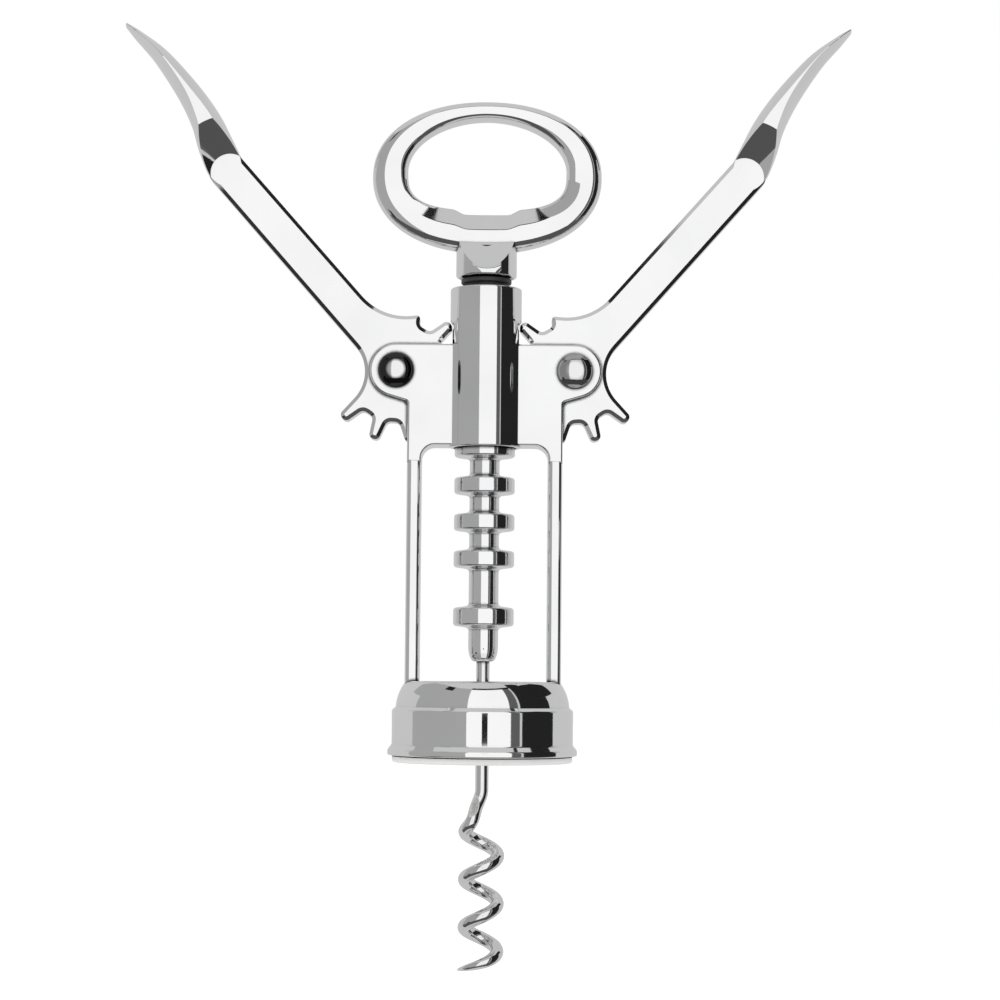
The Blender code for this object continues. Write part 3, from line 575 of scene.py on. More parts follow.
def cylinder(name, radius, half_length, segments, collection, matrix):
    return cone(name, radius, radius, half_length, segments, collection, matrix)


def loft(name, rings, collection, closed=False, place=(0, 0, 0)):
    """Skin over rings of points with equal counts, with capped ends unless it closes on itself."""
    shape = bmesh.new()
    loops = [[shape.verts.new(point) for point in ring] for ring in rings]
    spans = len(loops) if closed else len(loops) - 1
    for index in range(spans):
        first = loops[index]
        second = loops[(index + 1) % len(loops)]
        for corner in range(len(first)):
            following = (corner + 1) % len(first)
            shape.faces.new((first[corner], first[following], second[following], second[corner]))
    if not closed:
        shape.faces.new(loops[0])
        shape.faces.new(loops[-1])
    bmesh.ops.recalc_face_normals(shape, faces=shape.faces)
    mesh = mesh_from(shape, name)
    smooth(mesh)
    return add_object(name, mesh, collection, Matrix.Translation(place))


def bake(item, sharp_from):
    """Apply an object's modifiers and place to its mesh, and keep its flat faces flat."""
    bpy.context.view_layer.update()
    graph = bpy.context.evaluated_depsgraph_get()
    mesh = bpy.data.meshes.new_from_object(item.evaluated_get(graph))
    item.modifiers.clear()
    old = item.data
    item.data = mesh
    bpy.data.meshes.remove(old)
    mesh.name = item.name
    mesh.materials.clear()
    mesh.transform(item.matrix_world)
    item.matrix_world = Matrix.Identity(4)
    mesh.shade_smooth()
    mesh.set_sharp_from_angle(angle=sharp_from)
    normals = item.modifiers.new("Flat faces", "WEIGHTED_NORMAL")
    normals.keep_sharp = True
    normals.weight = FLAT_FACE_WEIGHT


def dress(item, node, slot, body, sharp_from=SMOOTH_ANGLE, finish=None):
    """Finish a piece: bake it, give it its material, and let it stand for its solid on its body."""
    bake(item, sharp_from)
    for cutter in list(cutters.objects):
        bpy.data.objects.remove(cutter, do_unlink=True)
    item.data.materials.append(finishes[finish or slot])
    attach(item, body)
    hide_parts(node)


# Bell and its liner

def build_bell():
    step_z = BELL_TOP_Z - BELL_STEP_DROP
    band_z = step_z - BELL_STEP_HEIGHT
    rim_z = BELL_RIM_Z + BELL_RIM_HEIGHT
    sweep = math.sin(SHOULDER_TOP_LEAN) - math.sin(SHOULDER_FOOT_LEAN)
    round_radius = (BELL_STEP_DROP - BELL_EDGE) / sweep
    corners = [(BELL_HOLE, BELL_TOP_Z, 0)]
    shoulder = []
    for step in range(SHOULDER_STEPS + 1):
        lean = SHOULDER_TOP_LEAN + (SHOULDER_FOOT_LEAN - SHOULDER_TOP_LEAN) * step / SHOULDER_STEPS
        shoulder.append((
            BELL_SHOULDER_REACH + round_radius * (math.cos(lean) - math.cos(SHOULDER_FOOT_LEAN)),
            step_z + round_radius * (math.sin(lean) - math.sin(SHOULDER_FOOT_LEAN)),
            0,
        ))
    top_radius = shoulder[0][0]
    corners.append((top_radius - 2 * BELL_EDGE, BELL_TOP_Z, 0))
    corners.append((top_radius - BELL_EDGE, BELL_TOP_Z - BELL_EDGE / 4, 0))
    corners += shoulder
    corners += [
        (BELL_BAND_REACH, band_z, BELL_STEP_FLARE / 2),
        (BELL_BAND_REACH, rim_z, BELL_STEP_FLARE / 2),
        (BELL_RIM, (rim_z + BELL_RIM_Z) / 2, BELL_STEP_FLARE / 2),
        (BELL_RIM, BELL_RIM_Z, BELL_EDGE),
        (BELL_BORE, BELL_RIM_Z, 0),
        (BELL_BORE, BELL_INNER_TOP_Z, 0),
        (BELL_HOLE, BELL_INNER_TOP_Z, 0),
    ]
    bell = turned("bell_shell", rounded_outline(corners), BELL_SEGMENTS, parts, closed=True)
    dress(bell, "bell", "chrome_bell", "frame")


def build_insert():
    rim = BELL_RIM - INSERT_FLANGE_INSET
    corners = [
        (WEB_HOLE, WEB_TOP_Z, 0),
        (INSERT_RADIUS, WEB_TOP_Z, BELL_EDGE),
        (INSERT_RADIUS, FLANGE_TOP_Z, 0),
        (rim, FLANGE_TOP_Z, 0),
        (rim, FLANGE_BOTTOM_Z, 2 * BELL_EDGE),
        (BOTTLE_BORE, FLANGE_BOTTOM_Z, 2 * BELL_EDGE),
        (BOTTLE_BORE, SEAT_Z, BELL_EDGE),
        (WEB_HOLE, SEAT_Z, 0),
    ]
    liner = turned("bell_liner", rounded_outline(corners), BELL_SEGMENTS, parts, closed=True)
    dress(liner, "bell_insert", "white_plastic", "frame")


# Frame

def tangent_angle(centre, radius, point):
    """Angle at a circle's centre where a line from a point below touches its right side."""
    offset = Vector(point) - Vector(centre)
    lean = math.acos(min(1, radius / offset.length))
    return math.atan2(offset.y, offset.x) + lean


def plates_outline():
    """Front view of the two plates, down to where the window's corners run into the legs."""
    waist = (LEG_OUTER, PIN_Z - EAR_SLANT_DROP)
    touch = tangent_angle((PIN_X, PIN_Z), EAR_RADIUS, waist)
    ear = [(x, z, 0) for x, z in arc((PIN_X, PIN_Z), EAR_RADIUS, math.pi / 2, touch)]
    low_z = WINDOW_TOP_Z - WINDOW_ROUND - PLATE_SKIRT
    half = ear + [
        (*waist, EAR_SLANT_ROUND),
        (LEG_OUTER, low_z, 0),
        (LEG_INNER, low_z, 0),
        (LEG_INNER, WINDOW_TOP_Z, WINDOW_ROUND),
    ]
    mirrored = [(-x, z, radius) for x, z, radius in reversed(half)]
    return rounded_outline(half + mirrored)


def leg_outline(side):
    """Front view of one leg, from under the bell's top to above the plates' lower ends."""
    foot = LEG_FOOT_Z - CUT_OVERRUN
    top = WINDOW_TOP_Z - WINDOW_ROUND + PLATE_SKIRT
    inner = side * LEG_INNER
    outer = side * (LEG_OUTER - LEG_TUCK)
    return [(inner, foot), (outer, foot), (outer, top), (inner, top)]


def fillet_outline(side_x, side_y):
    """Plan of the sloping strip between the barrel and a plate, sunk a little into both."""
    crown_y = PLATE_FACE + FILLET_RISE
    crown = (math.sqrt(BARREL_RADIUS ** 2 - crown_y ** 2), crown_y)
    foot = (math.sqrt(BARREL_RADIUS ** 2 - PLATE_FACE ** 2) + FILLET_FOOT, PLATE_FACE)
    slope = FILLET_RISE / (foot[0] - crown[0])
    points = [
        (crown[0] - FILLET_SINK, crown[1] + FILLET_SINK * slope),
        (foot[0] + FILLET_SINK / slope, foot[1] - FILLET_SINK),
        (crown[0] - FILLET_SINK, foot[1] - FILLET_SINK),
    ]
    return [(side_x * x, side_y * y) for x, y in points]


def build_frame():
    casting = plate("frame_casting", plates_outline(), PLATE_FACE, "XZ", parts, edge=FRAME_EDGE)
    for side in (-1, 1):
        leg = plate("leg", leg_outline(side), PLATE_FACE - LEG_TUCK, "XZ", cutters, edge=LEG_EDGE)
        boolean(casting, leg, "UNION")
    profile = rounded_outline([
        (0, BARREL_TOP_Z, 0),
        (BARREL_RADIUS, BARREL_TOP_Z, BARREL_EDGE),
        (BARREL_RADIUS, BARREL_BOTTOM_Z, BARREL_EDGE),
        (0, BARREL_BOTTOM_Z, 0),
    ])
    barrel = turned("barrel_stock", profile, BARREL_SEGMENTS, cutters)
    boolean(casting, barrel, "UNION")
    strip_half = (PLATE_TOP_Z - WINDOW_TOP_Z) / 2
    for side_x in (-1, 1):
        for side_y in (-1, 1):
            strip = plate(
                "fillet_strip", fillet_outline(side_x, side_y), strip_half, "XY", cutters,
                place=(0, 0, (PLATE_TOP_Z + WINDOW_TOP_Z) / 2),
            )
            boolean(casting, strip, "UNION")
    bore_half = (BARREL_TOP_Z - BARREL_BOTTOM_Z) / 2 + CUT_OVERRUN
    bore_matrix = Matrix.Translation((0, 0, (BARREL_TOP_Z + BARREL_BOTTOM_Z) / 2))
    bore = cylinder("bore", BARREL_BORE, bore_half, BARREL_SEGMENTS, cutters, bore_matrix)
    boolean(casting, bore, "DIFFERENCE")
    for side in (-1, 1):
        across = Matrix.Translation((side * PIN_X, 0, PIN_Z)) @ PLANES["XZ"]
        pocket = cylinder("pocket", POCKET_RADIUS, SLOT_HALF, BARREL_SEGMENTS, cutters, across)
        boolean(casting, pocket, "DIFFERENCE")
        hole_half = PLATE_FACE + CUT_OVERRUN
        hole = cylinder("pin_hole", PIN_HOLE, hole_half, SMALL_SEGMENTS, cutters, across)
        boolean(casting, hole, "DIFFERENCE")
    trim = cylinder(
        "foot_trim", 2 * LEG_OUTER, CUT_OVERRUN, SMALL_SEGMENTS, cutters,
        Matrix.Translation((0, 0, BELL_TOP_Z - BELL_EDGE - CUT_OVERRUN)),
    )
    boolean(casting, trim, "DIFFERENCE")
    dress(casting, "frame", "chrome_casting", "frame", PLATE_CRISP_ANGLE)


# Levers

def tooth_corners(angle, last):
    """Corners of one tooth, clockwise; the last tooth has no root on its far side."""
    outward = Vector((math.cos(angle), math.sin(angle)))
    clockwise = Vector((math.sin(angle), -math.cos(angle)))
    tip = TOOTH_TIP_WIDTH / 2
    root = TOOTH_ROOT_WIDTH / 2
    stations = [
        (GEAR_ROOT, -root, TOOTH_ROOT_ROUND),
        (GEAR_RADIUS, -tip, TOOTH_TIP_ROUND),
        (GEAR_RADIUS, tip, TOOTH_TIP_ROUND),
        (GEAR_ROOT, root, TOOTH_ROOT_ROUND),
    ]
    if last:
        stations.pop()
    corners = []
    for reach, shift, rounding in stations:
        point = outward * reach + clockwise * shift
        corners.append((point.x, point.y, rounding))
    return corners


def arm_point(reach, rise):
    """Point of the left lever, given along its arm and to the handle's side of it, from the pin."""
    along = Vector((math.cos(ARM_ANGLE), math.sin(ARM_ANGLE)))
    across = Vector((math.sin(ARM_ANGLE), -math.cos(ARM_ANGLE)))
    return along * reach + across * rise


def lever_outline():
    """Left lever's gear sector and arm, from the arm's end clockwise past the teeth."""
    top_tooth = REST_TOOTH_ANGLE + (TEETH_ABOVE_MESH - 1) * TOOTH_PITCH
    shoulder = top_tooth + SHOULDER_PITCH_SHARE * TOOTH_PITCH
    notch = top_tooth + SHOULDER_NOTCH_SHARE * TOOTH_PITCH
    corners = [
        (*arm_point(ARM_LENGTH, ARM_ABOVE - ARM_TAPER), ARM_END_ROUND),
        (*arm_point(NECK_REACH, ARM_ABOVE), NECK_ROUND),
        (*polar(SHOULDER_RADIUS, shoulder), SHOULDER_ROUND),
        (*polar(GEAR_ROOT, notch), TOOTH_ROOT_ROUND),
    ]
    for index in range(TEETH):
        corners += tooth_corners(top_tooth - index * TOOTH_PITCH, index == TEETH - 1)
    corners += [
        (*arm_point(WAIST_REACH, -ARM_BELOW), WAIST_ROUND),
        (*arm_point(ARM_LENGTH, ARM_TAPER - ARM_BELOW), ARM_END_ROUND),
    ]
    return rounded_outline(corners)


def between(rows, steps):
    """Rows of numbers with extra rows between them, on a smooth curve through the given ones."""
    result = []
    for index in range(len(rows) - 1):
        before = rows[max(index - 1, 0)]
        start = rows[index]
        end = rows[index + 1]
        after = rows[min(index + 2, len(rows) - 1)]
        for step in range(steps):
            t = step / steps
            result.append([
                0.5 * (2 * b + (c - a) * t + (2 * a - 5 * b + 4 * c - d) * t ** 2
                       + (3 * b - a - 3 * c + d) * t ** 3)
                for a, b, c, d in zip(before, start, end, after)
            ])
    result.append(list(rows[-1]))
    return result


def paddle_sections(side):
    """Rings of the grip paddle: a front and a back facet between two crowned flanks."""
    rows = between(PADDLE_SHARES, PADDLE_STEPS)
    middles = [
        arm_point(ARM_LENGTH + reach * PADDLE_LENGTH, rise * PADDLE_RISE)
        for reach, rise, *_ in rows
    ]
    rings = []
    for index, (_, _, width_share, depth_share, facet_share) in enumerate(rows):
        ahead = middles[min(index + 1, len(rows) - 1)]
        behind = middles[max(index - 1, 0)]
        direction = (ahead - behind).normalized()
        across = Vector((direction.y, -direction.x))
        half_width = width_share * PADDLE_WIDTH / 2
        half_depth = depth_share * PADDLE_DEPTH / 2
        facet = facet_share * half_width
        ring = []
        for face in (1, -1):
            for step in range(PADDLE_ARC_STEPS + 1):
                reach = face * math.cos(math.pi * step / PADDLE_ARC_STEPS)
                rise = face * (facet + (half_width - facet) * (1 - reach ** 2))
                point = middles[index] + across * rise
                ring.append((side * point.x, half_depth * reach, point.y))
        rings.append(ring)
    return rings


def build_lever(name, side):
    """Lever whose gear faces the shaft: side is 1 for the left one and -1 for its mirror image."""
    pin = Vector((-side * PIN_X, 0, PIN_Z))
    outline = [(side * x, z) for x, z in lever_outline()]
    lever = plate(
        name + "_casting", outline, LEVER_THICKNESS / 2, "XZ", parts,
        edge=CHAMFER_WIDTH, place=pin, edge_depth=CHAMFER_DEPTH,
    )
    paddle = loft(name + "_paddle", paddle_sections(side), parts, place=pin)
    arch = arm_point(ARCH_CENTRE, (ARM_ABOVE - ARM_BELOW) / 2)
    rise = PADDLE_DEPTH / 2 + CUT_OVERRUN - LEVER_THICKNESS / 2
    top_radius = ARCH_RADIUS + rise / math.tan(ARCH_LEAN)
    for face in (1, -1):
        centre = pin + Vector((side * arch.x, face * (LEVER_THICKNESS + rise) / 2, arch.y))
        turn = Matrix.Rotation(-face * math.pi / 2, 4, "X")
        ramp = cone(
            name + "_arch", ARCH_RADIUS, top_radius, rise / 2, BARREL_SEGMENTS, cutters,
            Matrix.Translation(centre) @ turn,
        )
        boolean(paddle, ramp, "DIFFERENCE")
    bake(paddle, SMOOTH_ANGLE)
    paddle.modifiers.clear()
    boolean(lever, paddle, "UNION")
    across = Matrix.Translation(pin) @ PLANES["XZ"]
    hole = cylinder(name + "_hole", PIN_HOLE, LEVER_THICKNESS, SMALL_SEGMENTS, cutters, across)
    boolean(lever, hole, "DIFFERENCE")
    dress(lever, name, "chrome_lever", name, CRISP_ANGLE)
    bpy.data.objects.remove(paddle, do_unlink=True)


def rivet_profile():
    seat = PLATE_FACE + FIT_GAP
    upper = [(0, seat + RIVET_HEAD_HEIGHT)]
    for step in range(1, RIVET_HEAD_STEPS + 1):
        angle = math.pi / 2 * step / RIVET_HEAD_STEPS
        rise = RIVET_HEAD_HEIGHT * math.cos(angle)
        upper.append((RIVET_HEAD_RADIUS * math.sin(angle), seat + rise))
    upper.append((RIVET_RADIUS, seat))
    return upper + [(radius, -height) for radius, height in reversed(upper)]


def build_rivet(name, side):
    rivet = turned(name + "_dome", rivet_profile(), SMALL_SEGMENTS, parts)
    rivet.matrix_world = Matrix.Translation((side * PIN_X, 0, PIN_Z)) @ PLANES["XZ"]
    dress(rivet, name, "steel_rivet", "frame", finish="steel_" + name)


# Screw: shaft, worm, bush and handle

def ring_profile(height, rim_height):
    """Profile of one rack ring from the top down: sloping flanks and a flat, rounded rim."""
    depth = RING_RADIUS - CORE_RADIUS
    rim = rim_height / 2
    slope = (RING_ROOT - RING_RIM) / 2
    upper = []
    for depth_share, slope_share in between(RING_PROFILE_SHARES, RING_STEPS):
        rise = slope_share * slope if slope_share > 0 else slope_share * rim
        upper.append((CORE_RADIUS + depth_share * depth, rim + rise))
    points = [(radius, height + rise) for radius, rise in upper]
    points += [(radius, height - rise) for radius, rise in reversed(upper)]
    return points


def build_shaft():
    profile = [(0, SHAFT_TOP_Z), (CORE_RADIUS, SHAFT_TOP_Z)]
    for index in range(RACK_RINGS):
        profile += ring_profile(PIN_Z + TOP_RING_OFFSET - index * RACK_PITCH, RING_RIM)
    profile += ring_profile(PIN_Z + STOP_RING_OFFSET, STOP_RING_RIM)
    for step in range(NOSE_STEPS + 1):
        turn = math.pi / 2 * step / NOSE_STEPS
        profile.append((
            SHAFT_END_RADIUS + (CORE_RADIUS - SHAFT_END_RADIUS) * math.cos(turn),
            SHAFT_END_Z + NOSE_HEIGHT * (1 - math.sin(turn)),
        ))
    profile += [
        (SHAFT_END_BORE, SHAFT_END_Z),
        (SHAFT_END_BORE, SHAFT_END_Z + WORM_SEAT + FIT_GAP),
        (0, SHAFT_END_Z + WORM_SEAT + FIT_GAP),
    ]
    shaft = turned("shaft_rack", profile, SHAFT_SEGMENTS, parts)
    dress(shaft, "rack_shaft", "chrome_shaft", "screw")


def worm_points():
    """Centre line of the worm from seat to tip, with the wire's share of its full radius."""
    bend_z = SHAFT_END_Z - WORM_STRAIGHT
    full_z = bend_z - WORM_LEAD_IN
    lead_turns = WORM_LEAD_IN / WORM_PITCH
    points = [(0, 0, SHAFT_END_Z + WORM_SEAT, 1)]
    steps = math.ceil((lead_turns + WORM_TURNS) * WORM_POINTS_PER_TURN)
    for step in range(steps + 1):
        turns = (lead_turns + WORM_TURNS) * step / steps - lead_turns
        above = max(0, -turns / lead_turns)
        swing = max(0, turns) - lead_turns * above * (1 - above) ** 2
        taper = max(0, 1 - (WORM_TURNS - turns) / WORM_TAPER_TURNS)
        share = WORM_TIP_SHARE + (1 - WORM_TIP_SHARE) * math.cos(math.pi / 2 * taper)
        angle = math.pi - math.tau * swing
        reach = (WORM_RADIUS - share * WIRE_RADIUS) * (1 - above) ** 2 * (1 + 2 * above)
        height = full_z - turns * WORM_PITCH + WORM_TIP_LIFT * taper ** 2
        points.append((reach * math.cos(angle), reach * math.sin(angle), height, share))
    return points


def build_worm():
    curve = bpy.data.curves.new("worm_wire", "CURVE")
    curve.dimensions = "3D"
    curve.bevel_depth = WIRE_RADIUS
    curve.bevel_resolution = WIRE_STEPS
    curve.use_fill_caps = True
    points = worm_points()
    spline = curve.splines.new("POLY")
    spline.points.add(len(points) - 1)
    for point, (x, y, z, share) in zip(spline.points, points):
        point.co = (x, y, z, 1)
        point.radius = share
    item = bpy.data.objects.new("worm_wire", curve)
    parts.objects.link(item)
    worm = solid_from_curve(item, "worm_wire", parts)
    dress(worm, "worm", "steel_worm", "screw")


def build_bush():
    top = NECK_BOTTOM_Z - FIT_GAP
    bottom = PIN_Z + TOP_RING_OFFSET + RING_ROOT / 2 + FIT_GAP
    bore = CORE_RADIUS + FIT_GAP
    corners = [
        (bore, top, 0),
        (BUSH_FLANGE_RADIUS, top, FIT_GAP),
        (BUSH_FLANGE_RADIUS, top - BUSH_FLANGE, FIT_GAP),
        (BUSH_SLEEVE_RADIUS, top - BUSH_FLANGE, 0),
        (BUSH_SLEEVE_RADIUS, bottom, FIT_GAP),
        (bore, bottom, 0),
    ]
    bush = turned("bush_collar", rounded_outline(corners), SHAFT_SEGMENTS, parts, closed=True)
    dress(bush, "shaft_bush", "black_plastic", "carriage")


def oval_point(angle, half_width, half_height, power):
    cosine = math.cos(angle)
    sine = math.sin(angle)
    x = half_width * math.copysign(abs(cosine) ** (2 / power), cosine)
    z = half_height * math.copysign(abs(sine) ** (2 / power), sine)
    return Vector((x, z))


def lifter_dip(x, z):
    """How far the opening's lower edge dips under the middle, where the ring lifts a cap."""
    if z > 0:
        return 0
    past = (abs(x) - LIFTER_HALF_WIDTH + LIFTER_EASE / 2) / LIFTER_EASE
    past = min(1, max(0, past))
    return LIFTER_DIP * (1 + math.cos(math.pi * past)) / 2


def handle_sections():
    """Sections of the ring: full outside, with a flank to the opening, widest at the lifter."""
    rings = []
    for station in range(HANDLE_STATIONS):
        angle = math.tau * station / HANDLE_STATIONS
        outer = oval_point(angle, HANDLE_HALF_WIDTH, HANDLE_HALF_HEIGHT, HANDLE_POWER)
        if math.sin(angle) > 0:
            inner = oval_point(angle, OPENING_HALF_WIDTH, OPENING_ABOVE, OPENING_UPPER_POWER)
        else:
            inner = oval_point(angle, OPENING_HALF_WIDTH, OPENING_BELOW, OPENING_LOWER_POWER)
        inner.y += OPENING_RISE - lifter_dip(inner.x, inner.y)
        middle = (outer + inner) / 2
        across = (outer - inner) / 2
        low = (1 - math.sin(angle)) / 2
        flank = FLANK_LEAST + (FLANK_MOST - FLANK_LEAST) * low ** 2
        ring = []
        for step in range(HANDLE_SECTION_STEPS):
            turn = math.tau * step / HANDLE_SECTION_STEPS
            reach, rise = oval_point(turn, 1, 1, SECTION_POWER)
            depth = min(abs(rise), 1 - flank * max(0, -reach))
            point = middle + across * reach
            ring.append((point.x, math.copysign(HANDLE_DEPTH / 2 * depth, rise), point.y))
        rings.append(ring)
    return rings


def facet_outline(side):
    """Side view of the wedge milled off the neck's front or back, deepest under the ring."""
    low_z = NECK_TOP_Z - NECK_FACET_HEIGHT
    slope = Vector((NECK_RADIUS - NECK_FACET_HALF, low_z - NECK_TOP_Z))
    step = slope.normalized() * CUT_OVERRUN
    points = [
        (NECK_FACET_HALF - step.x, NECK_TOP_Z - step.y),
        (NECK_RADIUS + step.x, low_z + step.y),
        (NECK_RADIUS + step.x, NECK_TOP_Z - step.y),
    ]
    return [(side * y, z) for y, z in points]


def build_handle():
    profile = rounded_outline([
        (0, NECK_TOP_Z, 0),
        (NECK_RADIUS, NECK_TOP_Z, 0),
        (NECK_RADIUS, NECK_BOTTOM_Z, NECK_ROUNDING),
        (0, NECK_BOTTOM_Z, 0),
    ])
    handle = turned("handle_casting", profile, SHAFT_SEGMENTS, parts)
    for side in (-1, 1):
        wedge = plate("neck_facet", facet_outline(side), 2 * NECK_RADIUS, "YZ", cutters)
        boolean(handle, wedge, "DIFFERENCE")
    ring = loft("handle_ring", handle_sections(), cutters, closed=True, place=(0, 0, HANDLE_Z))
    boolean(handle, ring, "UNION")
    bore_matrix = Matrix.Translation((0, 0, NECK_BOTTOM_Z))
    bore = cylinder("neck_bore", NECK_BORE, NECK_BORE_DEPTH, SHAFT_SEGMENTS, cutters, bore_matrix)
    boolean(handle, bore, "DIFFERENCE")
    dress(handle, "handle", "chrome_handle", "screw")


# Materials

def new_material(name):
    material = bpy.data.materials.new(name)
    material.use_nodes = True
    nodes = material.node_tree.nodes
    return material, nodes, material.node_tree.links, nodes["Principled BSDF"]


def noise(nodes, links, kind, stretch=(1, 1, 1)):
    """Solid noise of a kind (scale, detail) in the piece's own space, stretched along its axes."""
    scale, detail = kind
    place = nodes.new("ShaderNodeTexCoord")
    mapping = nodes.new("ShaderNodeMapping")
    mapping.inputs["Scale"].default_value = stretch
    texture = nodes.new("ShaderNodeTexNoise")
    texture.inputs["Scale"].default_value = scale
    texture.inputs["Detail"].default_value = detail
    links.new(place.outputs["Object"], mapping.inputs["Vector"])
    links.new(mapping.outputs["Vector"], texture.inputs["Vector"])
    return texture.outputs["Fac"]


def ranged(nodes, links, value, low, high, between_values=NOISE_RANGE):
    """The value, brought from between two values to between low and high."""
    start, end = between_values
    node = nodes.new("ShaderNodeMapRange")
    node.inputs["From Min"].default_value = start
    node.inputs["From Max"].default_value = end
    node.inputs["To Min"].default_value = low
    node.inputs["To Max"].default_value = high
    links.new(value, node.inputs["Value"])
    return node.outputs["Result"]


def mixed(nodes, links, share, *colours):
    """Colour that turns from the first to the second by a share; each is a colour or an output."""
    node = nodes.new("ShaderNodeMix")
    node.data_type = "RGBA"
    links.new(share, node.inputs["Factor"])
    for socket, colour in zip(MIX_INPUTS, colours):
        if isinstance(colour, tuple):
            node.inputs[socket].default_value = (*colour, 1)
        else:
            links.new(colour, node.inputs[socket])
    return node.outputs[MIX_OUTPUT]


def bump(nodes, links, height, distance, before=None):
    node = nodes.new("ShaderNodeBump")
    node.inputs["Strength"].default_value = 1
    node.inputs["Distance"].default_value = distance
    links.new(height, node.inputs["Height"])
    if before is not None:
        links.new(before, node.inputs["Normal"])
    return node.outputs["Normal"]


def crevice_shade_share(nodes, links):
    """Share of painted shade: full in tight corners and seams, by ambient occlusion, none on open
    faces.
    """
    node = nodes.new("ShaderNodeAmbientOcclusion")
    node.samples = CREVICE_SAMPLES
    node.inputs["Distance"].default_value = CREVICE_REACH
    return ranged(nodes, links, node.outputs["AO"], 1, 0, CREVICE_RANGE)


def from_pin(nodes, links, side):
    """Distance from a pin's axis in the piece's own space."""
    place = nodes.new("ShaderNodeTexCoord")
    flat = nodes.new("ShaderNodeVectorMath")
    flat.operation = "MULTIPLY"
    flat.inputs[1].default_value = (1, 0, 1)
    apart = nodes.new("ShaderNodeVectorMath")
    apart.operation = "DISTANCE"
    apart.inputs[1].default_value = (side * PIN_X, 0, PIN_Z)
    links.new(place.outputs["Object"], flat.inputs[0])
    links.new(flat.outputs["Vector"], apart.inputs[0])
    return apart.outputs["Value"]


def plated_metal(name, colour, roughness, wave, grain, stretch, painted_reflection):
    """Bright plating with casting waves, hairlines, rubbed patches and painted shade in the
    corners.

    A painted dark reflection, where there is one, is a ring round a pin on the dome's outer rim.
    """
    material, nodes, links, shader = new_material(name)
    patches = ranged(nodes, links, noise(nodes, links, PATCHES), 0, 1, PATCH_RANGE)
    plating = mixed(nodes, links, patches, colour, RUBBED)
    # Painted reflection: the outer rim round the pin turns dark, as if it reflected dark
    # surroundings
    if painted_reflection is not None:
        side, level = painted_reflection
        away = from_pin(nodes, links, side)
        ring = ranged(nodes, links, away, 0, 1, (PAINTED_RING_START, PAINTED_RING_END))
        plating = mixed(nodes, links, ring, plating, (level, level, level))
    # Painted shade: the plating is darkened towards near black where ambient occlusion finds a
    # corner or seam
    plating_with_shade = mixed(nodes, links, crevice_shade_share(nodes, links), plating, CREVICE_SHADE_COLOUR)
    links.new(plating_with_shade, shader.inputs["Base Color"])
    smudged = ranged(nodes, links, noise(nodes, links, SMUDGES), *roughness)
    links.new(smudged, shader.inputs["Roughness"])
    shader.inputs["Metallic"].default_value = 1
    waves = bump(nodes, links, noise(nodes, links, CASTING_WAVES), wave)
    hairs = bump(nodes, links, noise(nodes, links, HAIRLINES, stretch), grain, waves)
    links.new(hairs, shader.inputs["Normal"])
    return material


def moulded_plastic(name, colour, worn, roughness, grain):
    """Moulded plastic: a faint grain, flow marks and a yellowed or greyed tone where it rubs."""
    material, nodes, links, shader = new_material(name)
    patches = ranged(nodes, links, noise(nodes, links, FLOW_MARKS), 0, 1)
    links.new(mixed(nodes, links, patches, colour, worn), shader.inputs["Base Color"])
    sheen = ranged(nodes, links, noise(nodes, links, SHEEN_SPOTS), *roughness)
    links.new(sheen, shader.inputs["Roughness"])
    links.new(bump(nodes, links, noise(nodes, links, MOULD_GRAIN), grain), shader.inputs["Normal"])
    return material


# Studio

def emission_material(name, level):
    material = bpy.data.materials.new(name)
    material.use_nodes = True
    nodes = material.node_tree.nodes
    links = material.node_tree.links
    nodes.clear()
    emission = nodes.new("ShaderNodeEmission")
    emission.inputs["Color"].default_value = (level, level, level, 1)
    output = nodes.new("ShaderNodeOutputMaterial")
    links.new(emission.outputs["Emission"], output.inputs["Surface"])
    return material


def add_card(name, mesh, level):
    """Light or dark card that only polished surfaces see."""
    item = add_object(name, mesh, studio)
    mesh.materials.append(emission_material(name, level))
    item.visible_camera = False
    item.visible_diffuse = False
    item.visible_shadow = False


def spread(ends):
    """Angles in degrees from one end to the other, in radians and even steps."""
    first, last = ends
    step = (last - first) / CARD_STEPS
    return [math.radians(first + step * index) for index in range(CARD_STEPS + 1)]


def far_card(name, azimuths, elevations, level, radius):
    """Patch of a sphere round the tool, between two azimuths from its front and two elevations."""
    shape = bmesh.new()
    rows = []
    for elevation in spread(elevations):
        row = []
        for azimuth in spread(azimuths):
            direction = Vector((
                math.cos(elevation) * math.sin(azimuth),
                -math.cos(elevation) * math.cos(azimuth),
                math.sin(elevation),
            ))
            row.append(shape.verts.new(CARD_CENTRE + direction * radius))
        rows.append(row)
    for i in range(CARD_STEPS):
        for j in range(CARD_STEPS):
            shape.faces.new((rows[i][j], rows[i][j + 1], rows[i + 1][j + 1], rows[i + 1][j]))
    add_card(name, mesh_from(shape, name), level)


def near_card(name, start, end, reach, level):
    """Upright strip close to the tool, from start to end and reach to either side of that line."""
    first = Vector(start)
    last = Vector(end)
    across = (last - first).cross(Vector((0, 1, 0))).normalized() * reach
    corners = (first - across, last - across, last + across, first + across)
    shape = bmesh.new()
    shape.faces.new([shape.verts.new(corner) for corner in corners])
    add_card(name, mesh_from(shape, name), level)


